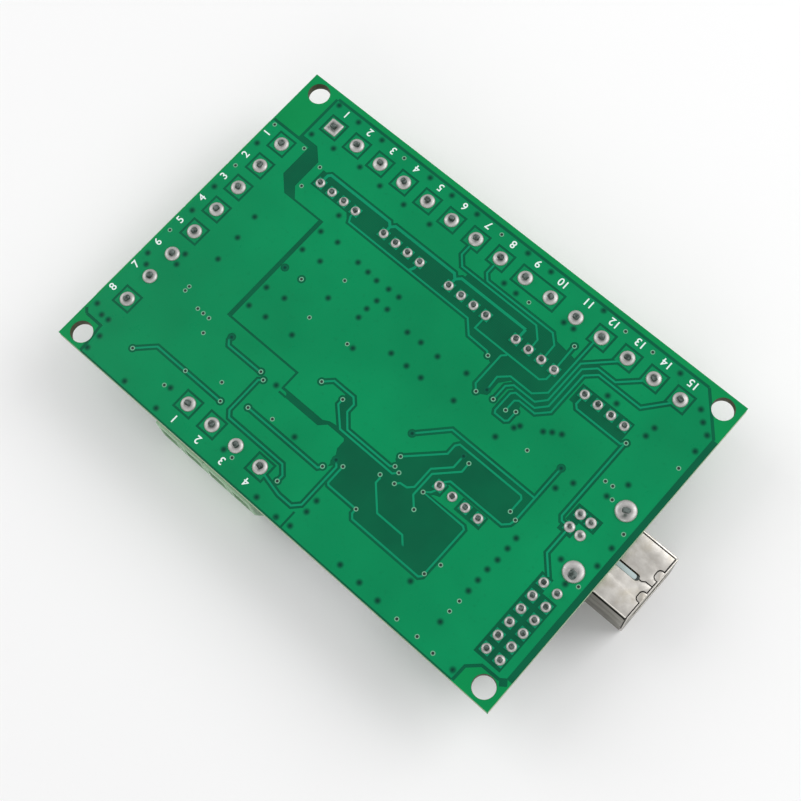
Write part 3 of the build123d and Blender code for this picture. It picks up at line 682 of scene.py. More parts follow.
# Bare stretches, which look dark
bareFields = [
    [(-38.4, 20.2), (-35.2, 20.2), (-33.1, 18.2), (-33.1, 12.7), (-31.6, 11.0), (-25.3, 11.0), (-25.3, 10.65),
     (-33.6, 10.65), (-36.1, 13.1), (-36.1, 19.1), (-38.4, 19.1)],
    [(-26.1, -10.45), (-25.3, -10.45), (-25.3, 11.0), (-26.1, 11.0)],
    [(-31.5, 14.55), (-23.6, 14.55), (-22.4, 13.3), (-3.9, 13.3), (-3.9, 17.7), (-31.5, 17.7)],
    [(-2.0, 18.2), (11.0, 18.2), (11.0, 19.3), (-2.0, 19.3)],
    [(10.4, 12.0), (10.4, 6.3), (11.6, 5.0), (13.3, 6.0), (13.3, 8.6), (14.6, 10.2), (18.4, 10.3),
     (20.3, 12.2), (20.3, 19.0), (17.2, 19.4), (15.2, 19.6), (14.4, 18.2), (15.2, 17.2), (17.6, 17.2),
     (17.6, 14.0), (11.6, 13.3)],
    [(15.75, 8.5), (15.75, 5.0), (16.0, 4.6), (17.9, 4.6), (18.3, 5.0), (18.3, 7.8), (17.5, 8.45),
     (16.3, 9.1)],
    [(23.1, 13.5), (33.1, 13.5), (33.1, 16.9), (23.1, 16.9)],
    [(34.5, -1.0), (36.4, -1.0), (36.4, -0.25), (39.1, -0.25), (39.1, 2.15), (34.5, 2.15)],
    [(36.95, -9.2), (39.1, -9.2), (39.1, -11.7), (41.85, -11.7), (41.85, -24.5), (36.95, -24.5)],
    [(34.4, -2.9), (34.4, -1.3), (36.9, -1.3), (36.9, -2.9)],
    [(15.3, -2.6), (27.3, -2.6), (27.7, -3.0), (28.8, -3.4), (28.8, -7.2), (28.0, -7.85), (18.0, -7.85),
     (17.0, -8.4), (15.4, -9.2), (15.15, -13.0), (16.0, -11.75), (24.3, -11.8), (24.3, -21.7),
     (10.8, -21.7), (10.2, -20.3), (4.3, -20.2), (3.9, -17.0), (3.0, -17.6), (2.5, -18.2), (2.5, -17.6),
     (2.2, -17.2), (2.2, -16.0), (1.7, -15.2), (1.7, -13.7), (1.4, -13.35), (-1.9, -13.35),
     (-3.0, -14.45), (-9.6, -14.45), (-10.2, -13.75), (-11.3, -13.75), (-11.3, -13.3), (-3.0, -13.3),
     (-2.0, -12.75), (-1.0, -12.6), (0.0, -12.65), (10.4, -12.4), (11.3, -11.9), (10.2, -11.2),
     (9.4, -10.6), (9.8, -9.85), (14.85, -4.9), (14.85, -3.2)],
    [(15.0, -2.0), (28.7, -2.0), (28.7, -3.4), (27.7, -3.0), (27.3, -2.6), (15.3, -2.6)],
    [(16.2, -8.1), (18.0, -8.5), (18.4, -8.6), (18.4, -10.7), (16.6, -11.4), (15.2, -11.4), (15.2, -9.0)],
    [(21.1, -10.75), (26.0, -10.75), (26.0, -8.45), (21.1, -8.45)],
    [(-3.1, -8.0), (-1.9, -7.55), (-1.05, -8.4), (-1.05, -9.9), (0.9, -12.0), (9.6, -12.0), (10.2, -12.65),
     (0.0, -12.65), (-2.9, -9.9)],
    [(-4.2, 13.5), (2.8, 13.5), (4.8, 11.5), (8.6, 11.4), (9.2, 10.9), (10.0, 10.3), (10.6, 10.3),
     (10.7, 12.2), (11.4, 13.1), (17.7, 13.2), (17.7, 17.2), (15.9, 17.3), (15.8, 18.8), (14.3, 20.1),
     (10.9, 19.5), (10.9, 17.8), (-4.2, 17.7)],
    [(15.3, 9.85), (15.6, 10.6), (18.2, 10.6), (20.0, 12.3), (20.0, 19.2), (20.75, 19.5), (22.3, 17.9),
     (22.3, 10.2), (20.6, 8.45), (17.5, 8.45), (16.95, 8.0), (15.8, 8.2), (16.3, 9.1)],
]

thinGaps = [
    [(-25.7, -10.3), (-11.15, -10.3), (-11.15, -13.6)],
    [(3.55, -26.6), (3.55, -29.8)],
    [(-11.2, -14.35), (-9.7, -14.35)],
]

# Broad supply rails along the axis sockets
rails = [
    [(-30.3, 15.7), (-30.3, 17.4), (-29.9, 17.85), (-17.3, 17.85), (-16.65, 17.2), (-16.0, 17.85),
     (-3.7, 17.85), (-2.95, 17.15), (-2.2, 17.9), (10.84, 17.9)],
    [(-16.65, 17.2), (-16.65, 15.68)],
    [(-2.95, 17.15), (-2.95, 15.68)],
    [(10.84, 17.9), (10.84, 15.68)],
    [(-9.0, 15.68), (-9.05, 14.4), (-9.4, 13.7)],
]

# Signal traces, each with its own gap in the pour
traces = [
    [(-22.67, 15.68), (-22.67, 14.5), (-22.2, 13.62), (2.8, 13.55), (4.8, 11.5), (8.6, 11.4), (9.2, 10.9)],
    [(4.76, 15.68), (4.72, 13.05), (17.6, 13.05), (18.4, 13.8), (18.46, 15.68)],
    [(-4.9, 22.9), (-4.9, 21.0), (-3.5, 19.5), (11.6, 19.5), (13.3, 17.8), (13.38, 15.68)],
    [(0.15, 22.9), (0.15, 21.2), (1.1, 20.2), (14.3, 20.2), (15.8, 18.8), (15.92, 15.68)],
    [(18.25, 20.65), (18.35, 17.0), (18.46, 15.68)],
    [(20.05, 23.2), (20.0, 12.3), (18.2, 10.6), (14.0, 10.6), (12.5, 9.2), (12.7, 6.6)],
    [(25.2, 23.4), (24.5, 22.8), (20.75, 19.1), (20.75, 11.4), (19.4, 9.87), (15.3, 9.85), (14.4, 8.9),
     (14.4, 6.1)],
    [(29.6, 23.1), (26.6, 20.2), (23.2, 20.2), (21.45, 18.5), (21.45, 10.7), (20.0, 9.1), (16.3, 9.1),
     (15.75, 8.5), (15.75, 5.0), (16.0, 4.6), (17.9, 4.6), (18.3, 5.0), (18.3, 6.8)],
    [(35.0, 23.1), (32.0, 19.5), (24.0, 19.5), (22.3, 17.9), (22.3, 10.2), (20.6, 8.45), (17.5, 8.45),
     (16.95, 8.0), (16.95, 6.0)],
    [(11.4, 12.9), (10.7, 12.2), (10.7, 6.3), (11.6, 5.35)],
    [(24.4, 15.7), (24.35, 13.7), (24.9, 13.15), (33.3, 13.15), (33.8, 13.7)],
    [(33.8, 13.8), (33.8, -1.0), (34.3, -1.6), (35.8, -1.6)],
    [(35.75, -2.4), (35.75, -6.7), (38.2, -9.3)],
    [(8.7, -6.0), (12.9, -1.6), (29.1, -1.6)],
    [(29.1, 4.5), (29.1, -6.0), (28.9, -6.95), (28.0, -7.85), (18.0, -7.85), (17.3, -8.6)],
    [(9.8, -9.85), (14.85, -4.9), (14.85, -3.2), (15.3, -2.6), (27.3, -2.6), (27.7, -3.0), (27.7, -5.5)],
    [(16.9, -3.6), (16.9, -5.9), (14.5, -8.3), (14.5, -12.0), (13.7, -12.8), (12.5, -12.95), (11.9, -13.6)],
    [(18.25, -3.95), (18.3, -5.6), (15.15, -8.8), (15.15, -13.0), (16.75, -14.65)],
    [(17.3, -10.2), (16.9, -11.0), (16.0, -11.75), (23.9, -11.75), (24.35, -12.1), (24.3, -21.3),
     (23.9, -21.75), (10.8, -21.75), (10.2, -21.1), (10.2, -20.25), (4.6, -20.25), (4.3, -20.0),
     (4.3, -16.7)],
    [(9.35, -13.95), (9.7, -14.4), (9.7, -15.3), (13.0, -18.65), (18.0, -18.65), (19.2, -19.9)],
    [(-2.9, -8.9), (-2.9, -9.9), (0.0, -12.65), (10.6, -12.65), (11.3, -11.9)],
    [(-7.3, -8.9), (-5.9, -7.55), (-1.9, -7.55), (-1.05, -8.4), (-1.05, -9.9), (0.9, -12.0),
     (9.6, -12.0), (10.2, -11.55)],
    [(-22.9, -12.7), (-22.9, -13.3), (-22.3, -14.0), (-15.5, -13.95)],
    [(-14.3, -14.6), (-14.9, -15.1), (-14.9, -21.5), (-14.1, -22.4), (-2.9, -22.4), (-1.65, -23.7),
     (-1.65, -24.85)],
    [(-13.0, -19.35), (1.5, -19.35), (1.95, -18.7)],
    [(-33.4, -24.15), (-30.6, -21.4), (-16.95, -21.4)],
    [(2.8, -16.6), (3.6, -17.4), (3.6, -25.1), (2.5, -26.25), (-0.1, -26.25), (-2.6, -25.7),
     (-4.4, -25.3)],
]

ringedVias = [
    (-43.2, 18.6), (-36.55, 18.55), (-32.3, 17.7), (-32.3, 13.35), (-23.0, 27.7), (-43.0, 9.1), (-43.1, -6.0),
    (-15.9, 5.75), (-15.9, -2.4), (-21.25, 1.5), (-33.9, -10.95), (-33.9, -11.85), (-30.25, -12.75),
    (-29.05, -12.75), (-27.8, -12.75), (-26.75, -15.1), (-18.9, -19.05), (-25.35, -25.2), (-2.35, 27.65),
    (8.3, 21.65), (-8.45, -1.8), (-8.9, -18.25), (-9.35, -26.7), (27.85, 27.65), (22.6, 27.6), (42.2, 15.85),
    (35.3, 7.25), (36.6, 7.35), (37.85, 5.7), (23.5, 3.3), (42.4, 2.75), (42.4, -7.55), (30.8, -20.5),
    (30.7, -22.55), (25.25, -18.3), (25.7, -28.45), (29.6, -28.4), (32.9, -28.7),
    (18.25, 20.65), (9.2, 10.9), (14.4, 6.1), (18.3, 6.8), (16.95, 6.0), (11.6, 5.35), (33.9, 13.8),
    (29.1, -6.0), (9.8, -9.85), (27.7, -5.5), (11.9, -13.6), (18.25, -3.95), (16.75, -14.65),
    (16.0, -11.75), (24.3, -20.85), (10.2, -20.25), (4.3, -16.7), (9.35, -13.95), (-2.9, -8.9),
    (11.3, -11.9), (-7.3, -8.9), (10.2, -11.55), (-15.5, -13.85), (-14.3, -14.6), (-1.65, -24.85),
    (-13.0, -19.35), (1.95, -18.7), (-33.4, -24.15), (-24.5, -21.4), (-16.95, -21.4),
]

coveredVias = [
    (-37.5, 28.0), (-33.0, 27.75), (-27.9, 27.8), (-17.5, 27.8), (-37.4, 21.2), (-32.9, 21.6), (-27.4, 21.9),
    (-22.7, 21.5), (-17.6, 21.5), (-43.1, 14.3), (-24.2, 13.4), (-24.5, 9.5), (-21.2, 9.85), (-16.4, 9.4),
    (-43.0, 4.15), (-34.3, 4.5), (-33.9, 0.1), (-42.8, -1.2), (-33.7, -4.6), (-38.3, -7.4), (-38.1, -9.55),
    (-24.6, 5.3), (-24.6, 1.25), (-24.5, -3.1), (-24.5, -7.1), (-21.1, 5.65), (-21.1, -2.6), (-21.2, -6.8),
    (-15.9, 1.9), (-16.0, -6.3), (-43.0, -11.15), (-41.8, -12.7), (-43.0, -22.5), (-41.1, -23.4),
    (-39.7, -23.3), (-38.8, -26.1), (-38.9, -28.7), (-30.5, -28.8), (-23.7, -28.7), (-24.3, -24.9),
    (-12.8, 27.7), (-7.6, 27.8), (2.85, 27.9), (7.6, 27.8), (-12.2, 21.6), (3.3, 21.6), (5.8, 21.5),
    (14.5, 22.6), (16.3, 22.75), (-14.1, 9.2), (-12.1, 9.0), (-9.7, 9.15), (-7.6, 9.2), (-9.8, 6.5),
    (-7.6, 6.5), (-10.1, 4.5), (-10.1, 2.6), (-2.7, 5.7), (0.0, 5.8), (3.45, 5.75), (8.6, 6.6), (-2.3, 1.5),
    (0.85, 1.5), (3.8, 1.5), (10.0, 2.0), (-7.35, -1.75), (-4.4, -18.1), (-12.2, -13.9), (-11.2, -26.6),
    (-2.3, -28.7), (2.0, -29.0), (4.9, -23.2), (4.9, -25.4), (4.5, -28.6), (14.1, -28.0), (33.1, 27.7),
    (17.9, 28.1), (39.0, 25.2), (40.5, 23.8), (42.2, 22.6), (42.4, 19.5), (35.6, 18.4), (35.4, 16.6),
    (27.1, 17.8), (28.9, 17.7), (23.4, 7.1), (24.5, 7.9), (25.8, 8.6), (38.2, 9.0), (36.9, 5.6), (20.2, 5.5),
    (19.7, 4.7), (31.9, 3.9), (18.5, 1.8), (30.4, 1.6), (42.4, 0.0), (42.5, -3.4), (37.9, -6.1), (40.7, -8.5),
    (30.95, -8.0), (31.0, -10.0), (31.0, -12.25), (30.8, -14.3), (30.8, -16.4), (30.8, -18.5), (30.7, -24.6),
    (23.5, -23.0), (18.0, -28.1), (21.8, -28.3), (36.6, -28.6),
    (12.7, 6.6), (8.7, -6.0), (29.1, 4.5), (16.9, -3.6), (19.2, -20.3), (-22.9, -12.7), (2.8, -16.6),
]

# Vias that pass the pour without touching it
gappedVias = [(-21.25, 1.5), (-24.6, 1.25)]


def circle(centre, radius, sides):
    x, y = centre
    turns = [2 * pi * i / sides for i in range(sides)]
    return [(x + radius * cos(turn), y + radius * sin(turn)) for turn in turns]


def square(centre, half):
    x, y = centre
    return [(x - half, y - half), (x + half, y - half), (x + half, y + half), (x - half, y + half)]


def ribbon(points, width, overrun=0.0):
    # The outline of a strip of one width along a bent line
    line = [Vector(point) for point in points]
    first = (line[1] - line[0]).normalized()
    last = (line[-1] - line[-2]).normalized()
    line[0] = line[0] - first * overrun
    line[-1] = line[-1] + last * overrun
    left, right = [], []
    for i, point in enumerate(line):
        before = (point - line[i - 1]).normalized() if i else first
        after = (line[i + 1] - point).normalized() if i < len(line) - 1 else last
        along = (before + after).normalized()
        side = Vector((-along.y, along.x))
        reach = width / 2 / max(0.5, side.dot(Vector((-before.y, before.x))))
        left.append(tuple(point + side * reach))
        right.append(tuple(point - side * reach))
    return left + right[::-1]


def turnedLeft(outline):
    # The same outline, run anticlockwise
    doubled = sum(a[0] * b[1] - b[0] * a[1] for a, b in zip(outline, outline[1:] + outline[:1]))
    return outline if doubled > 0 else outline[::-1]


def layOut(shapes):
    # Splits the face along every outline and tells which shapes cover each triangle
    points, faces = [], []
    for _, outline in shapes:
        start = len(points)
        points += [Vector(point) for point in turnedLeft(outline)]
        faces.append(list(range(start, len(points))))
    found = delaunay_2d_cdt(points, [], faces, 1, 1e-4, True)
    corners, triangles, owners = found[0], found[2], found[5]
    kinds = [{shapes[i][0] for i in owner} for owner in owners]
    return corners, list(zip(triangles, kinds))


def padPlaces():
    output = centres("output_contacts")
    incoming = centres("input_contacts")
    spindle = centres("spindle_contacts")
    return ([(place.x, boxOf("terminal_solder")[1].y - 1.22) for place in output],
            [(boxOf("terminal_solder")[0].x + 1.22, place.y) for place in incoming],
            [(place.x, boxOf("terminal_solder")[0].y + 1.22) for place in spindle])


outputPads, inputPads, spindlePads = padPlaces()
pinPads = [(place.x, place.y) for node in ("axis_solder", "converter_solder", "header_solder")
           for place in centres(node)]
usbPads = [(place.x, place.y) for place in centres("usb_solder")[1:-1]]


def islands():
    # Terminal pads that stand alone in the pour, and one pair that shares an island
    alone = [pad for i, pad in enumerate(outputPads) if i not in (8, 9, 10)]
    alone += inputPads[:5] + inputPads[7:] + [spindlePads[0], spindlePads[1], spindlePads[3]]
    low, high, half = outputPads[8], outputPads[9], art["island"]
    pair = [(low[0] - half, low[1] - half), (high[0] + half, low[1] - half),
            (high[0] + half, low[1] + half), (low[0] - half, low[1] + half)]
    gap = art["gap"]
    wide = [(low[0] - half - gap, low[1] - half - gap), (high[0] + half + gap, low[1] - half - gap),
            (high[0] + half + gap, low[1] + half + gap), (low[0] - half - gap, low[1] + half + gap)]
    return ([square(pad, half + gap) for pad in alone] + [wide],
            [square(pad, half) for pad in alone] + [pair])


def shores():
    # Painted shade of the pour's edge: the lacquer beside it is drawn dark, most along the USB end
    strips = []
    for a, b in zip(pour, pour[1:] + pour[:1]):
        width = art["broadEdgeShade"] if min(a[0], b[0]) > 42 else art["shore"]
        if max(a[0], b[0]) > -43.5:  # along the input terminals the pour runs out to the edge
            strips.append(("shore", ribbon([a, b], 2 * width, 0.1)))
    return strips


def artShapes():
    gap = art["gap"]
    width, rail = art["trace"], art["rail"]
    gaps, copper = islands()
    corner = [(boardLow.x + 0.06, boardLow.y + 0.06), (boardHigh.x - 0.06, boardLow.y + 0.06),
              (boardHigh.x - 0.06, boardHigh.y - 0.06), (boardLow.x + 0.06, boardHigh.y - 0.06)]
    shapes = [("board", corner), ("pour", pour)]
    shapes += [("gap", outline) for outline in bareFields + gaps]
    shapes += [("gap", ribbon(line, gap)) for line in thinGaps]
    shapes += [("gap", ribbon(line, rail + 2 * gap, gap)) for line in rails]
    shapes += [("gap", ribbon(line, width + 2 * gap, gap)) for line in traces]
    traceEnds = [end for line in traces + rails for end in (line[0], line[-1])]
    ended = [via for via in ringedVias + coveredVias + gappedVias
             if via in gappedVias or any(hypot(via[0] - x, via[1] - y) < 0.4 for x, y in traceEnds)]
    shapes += [("gap", circle(via, art["viaPad"] + gap * 0.8, 14)) for via in ended]
    shapes += [("trace", circle(via, art["viaPad"], 12)) for via in ended]
    shapes += shores()
    shapes += [("copper", outline) for outline in copper]
    shapes += [("trace", ribbon(line, rail)) for line in rails]
    shapes += [("trace", ribbon(line, width)) for line in traces]
    shapes += [("trace", square(pad, 0.84)) for pad in pinPads]
    shapes += [("trace", square(pad, 0.8)) for pad in usbPads]
    shapes += [("hole", circle(place, laminate["holeRadius"] + 0.05, laminate["holeSides"]))
               for place in holeCentres()]
    for via in ringedVias:
        shapes += [("ring", circle(via, art["viaRing"], 12)), ("bore", circle(via, art["viaHole"], 8))]
    for via in coveredVias:
        shapes += [("dimple", circle(via, art["dimple"] * share, sides))
                   for share, sides in ((1, 12), (0.72, 10), (0.45, 8), (0.12, 5))]
    return shapes


def film(name, corners, triangles, height, base):
    # A flat skin of these triangles, raised to its thickness
    used = sorted({i for triangle in triangles for i in triangle})
    number = {old: new for new, old in enumerate(used)}
    mesh = bpy.data.meshes.new(name)
    mesh.from_pydata([(corners[i].x * mm, corners[i].y * mm, base * mm) for i in used], [],
                     [[number[i] for i in triangle] for triangle in triangles])
    piece = bpy.data.objects.new(name, mesh)
    bpy.context.collection.objects.link(piece)
    return drawOut(piece, (0, 0, height))


def nearest(x, y, places):
    return min(hypot(x - a, y - b) for a, b in places)


def smoothStep(value):
    value = max(0.0, min(1.0, value))
    return value * value * (3 - 2 * value)


def sortLands(shapes):
    # Every triangle goes to the material that lies on top there
    corners, triangles = layOut(shapes)
    lands = {"copper": [], "trace": [], "bare": [], "border": [], "ring": []}
    for triangle, kinds in triangles:
        if "board" not in kinds or "hole" in kinds or "bore" in kinds:
            continue
        if "ring" in kinds:
            lands["ring"].append(triangle)
        elif "trace" in kinds and ("gap" in kinds or "pour" not in kinds):
            lands["trace"].append(triangle)
        elif "copper" in kinds or ("pour" in kinds and "gap" not in kinds):
            lands["copper"].append(triangle)
        elif "pour" in kinds or "gap" in kinds or "shore" in kinds:
            lands["bare"].append(triangle)
        else:
            lands["border"].append(triangle)
    return corners, lands


def sinkDimples(skin):
    # The lacquer sags a little over each covered via, and the shade of the sag and the hole under it is
    # painted in as darker colour
    depth = skin.data.attributes.new("viaDepth", "FLOAT", "POINT")
    for vert in skin.data.vertices:
        if vert.co.z > copperTop * mm / 2:
            reach = nearest(vert.co.x / mm, vert.co.y / mm, coveredVias) / art["dimple"]
            shade = smoothStep(1.12 - reach)
            depth.data[vert.index].value = shade
            vert.co.z -= shade * art["dimpleDepth"] * mm


def makeArt():
    corners, lands = sortLands(artShapes())
    skin = film("maskedCopper", corners, lands["copper"], copperTop, 0)
    sinkDimples(skin)
    fit(skin, "masked_copper", finishes["overCopper"], "solder_side_copper")
    strips = film("maskedTraces", corners, lands["trace"], copperTop, 0)
    sinkDimples(strips)
    fit(strips, "masked_copper", finishes["overTrace"])
    fit(film("bareMask", corners, lands["bare"], art["filmTop"], 0), "solder_mask", finishes["deep"])
    fit(film("borderMask", corners, lands["border"], art["filmTop"], 0), "solder_mask", finishes["border"])
    ring = film("viaRings", corners, lands["ring"], copperTop + art["ringRise"], 0)
    fit(ring, "solder", finishes["viaTin"])
    reach, top = art["viaHole"] + 0.01, art["filmTop"]
    # Each ringed via's hole is filled by a dark plug, a painted shadow in place of the shade inside it
    plug = lathe("viaBores", [(0, 0), (reach, 0), (reach, top), (reach * 0.6, top * 0.5), (0, top * 0.4)], 8)
    seats = [Matrix.Translation(Vector((x, y, 0)) * mm) for x, y in ringedVias]
    fit(setOut("viaBores", plug, seats), "solder_mask", finishes["viaBore"])


def hiddenShapes():
    # The face under the components has its own pour, and shows the rings of the same vias
    shapes = [("board", oblong(boardHigh.x * 2 - 0.12, boardHigh.y * 2 - 0.12)), ("pour", pour)]
    shapes += shores()
    shapes += [("gap", outline) for outline in bareFields[:2]]
    shapes += [("gap", ribbon(thinGaps[0], art["gap"]))]
    shapes += [("hole", circle(place, laminate["holeRadius"] + 0.05, laminate["holeSides"]))
               for place in holeCentres()]
    for via in ringedVias + coveredVias:
        shapes += [("ring", circle(via, art["viaRing"], 10)), ("bore", circle(via, art["viaHole"], 8))]
    return shapes


def makeHiddenFace():
    corners, lands = sortLands(hiddenShapes())
    skin = film("hiddenCopper", corners, lands["copper"], copperTop, componentFace - copperTop)
    skin.data.attributes.new("viaDepth", "FLOAT", "POINT")
    fit(skin, "masked_copper", finishes["overCopper"])
    base = componentFace - art["filmTop"]
    fit(film("hiddenBare", corners, lands["bare"], art["filmTop"], base), "solder_mask", finishes["deep"])
    fit(film("hiddenBorder", corners, lands["border"], art["filmTop"], base), "solder_mask",
        finishes["border"])
    rise = copperTop + art["ringRise"]
    fit(film("hiddenRings", corners, lands["ring"], rise, componentFace - rise), "solder",
        finishes["viaTin"])


makeHiddenFace()
makeArt()
print("copper, bare mask and vias made")


# Printed numbers in place of lettering

printing = dict(size=1.85, weight=0.022, thickness=0.006, outputGap=3.2, inputGap=3.2, spindleGap=3.05)


def printed(text, x, y, turn):
    bpy.ops.object.text_add()
    label = bpy.context.object
    label.data.body = text
    label.data.size = printing["size"] * mm
    label.data.align_x = "CENTER"
    label.data.align_y = "CENTER"
    label.data.resolution_u = 4
    label.data.extrude = printing["thickness"] / 2 * mm
    label.data.offset = printing["weight"] * mm
    pick(label)
    bpy.ops.object.convert(target="MESH")
    label = cleaned(bpy.context.object)
    height = copperTop + printing["thickness"] / 2
    label.data.transform(Matrix.Translation(Vector((x, y, height)) * mm) @ Matrix.Rotation(turn, 4, "Z"))
    return label


def printNumbers():
    labels = [printed(str(i), x, y + printing["outputGap"], pi) for i, (x, y) in enumerate(outputPads, 1)]
    labels += [printed(str(i), x - printing["inputGap"], y, pi / 2) for i, (x, y) in enumerate(inputPads, 1)]
    labels += [printed(str(i), x, y - printing["spindleGap"], pi) for i, (x, y) in enumerate(spindlePads, 1)]
    fit(joined("printedNumbers", labels), "solder_mask", finishes["print"])


printNumbers()
print("numbers printed")


# Solder joints: a low dome of solder, with the dark cut end of the pin standing out of it

joint = dict(terminalRadius=1.22, terminalDome=0.5, pinRadius=0.8, pinDome=0.42, usbRadius=0.86, usbDome=0.4,
             tabRadius=1.7, tabDome=0.5, tabTurn=0.5, tabShift=(0.18, -0.52, 0),
             tabEnds=((1.35, 0.85, 0.62), (1.55, 1.5, 0.56, 0.42)))


def dome(radius, height, steps):
    # Steep foot, full shoulder, then a small rise to the collar round the pin
    profile = [(0, 0), (radius, 0), (radius, height * 0.1), (radius * 0.97, height * 0.3),
               (radius * 0.88, height * 0.52), (radius * 0.72, height * 0.7), (radius * 0.55, height * 0.82),
               (radius * 0.42, height * 0.94), (radius * 0.36, height), (0, height)]
    return dullMiddle(smoothed(lathe("dome", profile, steps), 60), radius * 0.34, radius * 0.8)


def dullMiddle(model, near, far, x=0.0, y=0.0):
    # Marks how close each point of the solder is to the pin's end, where the solder is darkened partly by
    # flux and partly as painted shade of the pin
    shade = model.data.attributes.new("nearPin", "FLOAT", "POINT")
    for vert in model.data.vertices:
        reach = hypot(vert.co.x / mm - x, vert.co.y / mm - y)
        shade.data[vert.index].value = smoothStep((far - reach) / (far - near))
    return model


def squareDome(half, height):
    # The first joint of the output row stands on a square pad
    steps = [(height * 0.2, 1), (height * 0.2, 0.97), (height * 0.15, 0.9), (height * 0.1, 0.85),
             (height * 0.08, 0.7)]
    model = smoothed(tower("squareDome", oblong(2 * half, 2 * half, 0.2, 3), 0, steps), 60)
    return dullMiddle(model, half * 0.6, half * 1.1)


def crater(radius, height, steps):
    # A broad joint whose middle sags a little where the fixing tab shows
    profile = [(0, 0), (radius, 0), (radius, height * 0.15), (radius * 0.97, height * 0.45),
               (radius * 0.88, height * 0.72), (radius * 0.72, height * 0.9), (radius * 0.55, height),
               (radius * 0.4, height * 0.97), (radius * 0.26, height * 0.86), (0, height * 0.8)]
    return dullMiddle(smoothed(lathe("crater", profile, steps), 60), 0.5, 1.35, 0.05, -0.3)


def pinStub(length, width, top, rounding=0.3):
    # A cut pin with rounded edges, a little narrower at its tip
    outline = oblong(length, width, min(length, width) * rounding, 3)
    stub = tower("pinStub", outline, 0.05, [(top * 0.6, 0.98), (top * 0.25, 0.85), (top * 0.15 - 0.05, 0.6)])
    return smoothed(cleaned(soften(stub, 0.05, 2, 25)), 60)


def leaned(seats):
    # No two stubs stand quite alike
    return [seat @ Matrix.Rotation(0.12 * sin(31 * seat.translation.x / mm), 4, "X")
            @ Matrix.Rotation(0.35 * sin(17 * seat.translation.y / mm + seat.translation.x / mm), 4, "Z")
            for seat in seats]


def jointRow(name, seats, model, stub, replaced):
    fit(setOut(name, model, seats), "solder", finishes["solder"], *replaced)
    fit(setOut(name + "Stubs", pinStub(*stub), leaned(seats)), "tinned_brass", finishes["pin"])


def makeJoints():
    high = boxOf("terminal_solder")[1].z - copperTop
    low = boxOf("axis_solder")[1].z - copperTop
    stub = (1.05, 0.85, high * 0.93)
    first = [seatAbove(*outputPads[0])]
    model = squareDome(joint["terminalRadius"], joint["terminalDome"])
    fit(setOut("firstJoint", model, first), "solder", finishes["solder"])
    fit(setOut("firstJointStub", pinStub(*stub), first), "tinned_brass", finishes["pin"])
    rest = [seatAbove(x, y) for x, y in outputPads[1:] + spindlePads]
    rest += [seatAbove(x, y, 90) for x, y in inputPads]
    jointRow("terminalJoints", rest, dome(joint["terminalRadius"], joint["terminalDome"], 26), stub,
             ["terminal_solder"])
    for name, node in (("axisJoints", "axis_solder"), ("converterJoints", "converter_solder"),
                       ("headerJoints", "header_solder")):
        seats = [seatAbove(place.x, place.y) for place in centres(node)]
        jointRow(name, seats, dome(joint["pinRadius"], joint["pinDome"], 20), (0.8, 0.76, low * 0.93), [node])
    seats = [seatAbove(x, y) for x, y in usbPads]
    model = dome(joint["usbRadius"], joint["usbDome"], 20)
    jointRow("usbPinJoints", seats, model, (0.62, 0.5, low * 0.65), [])
    tabs = [seatAbove(place.x, place.y) for place in (centres("usb_solder")[0], centres("usb_solder")[-1])]
    model = crater(joint["tabRadius"], joint["tabDome"], 32)
    fit(setOut("usbTabJoints", model, tabs), "solder", finishes["solder"], "usb_solder")
    turned = tabs[0] @ Matrix.Rotation(joint["tabTurn"], 4, "Z")
    moved = tabs[1] @ Matrix.Translation(Vector(joint["tabShift"]) * mm)
    ends = [twin(pinStub(*sizes), seat) for sizes, seat in zip(joint["tabEnds"], (turned, moved))]
    fit(joined("usbTabEnds", ends), "tinned_brass", finishes["pin"])
    for stub in [piece for piece in bpy.data.objects if piece.name.startswith("pinStub")]:
        bpy.data.objects.remove(stub)


makeJoints()
print("solder joints made")


# Screw terminals

terminal = dict(front=5.3, rear=3.7, height=10.2, frontHeight=6.3, rearHeight=6.9, frontSlope=1.1,
                rearSlope=1.2, pitch=5.08, play=0.05, screwOffset=1.9, wellRadius=1.75, chamberTop=6.4,
                windowWidth=3.4, windowLow=1.5, windowHigh=5.6, chamberWidth=4.0, chamberRear=0.6, wall=1.1,
                keyDepth=0.7)


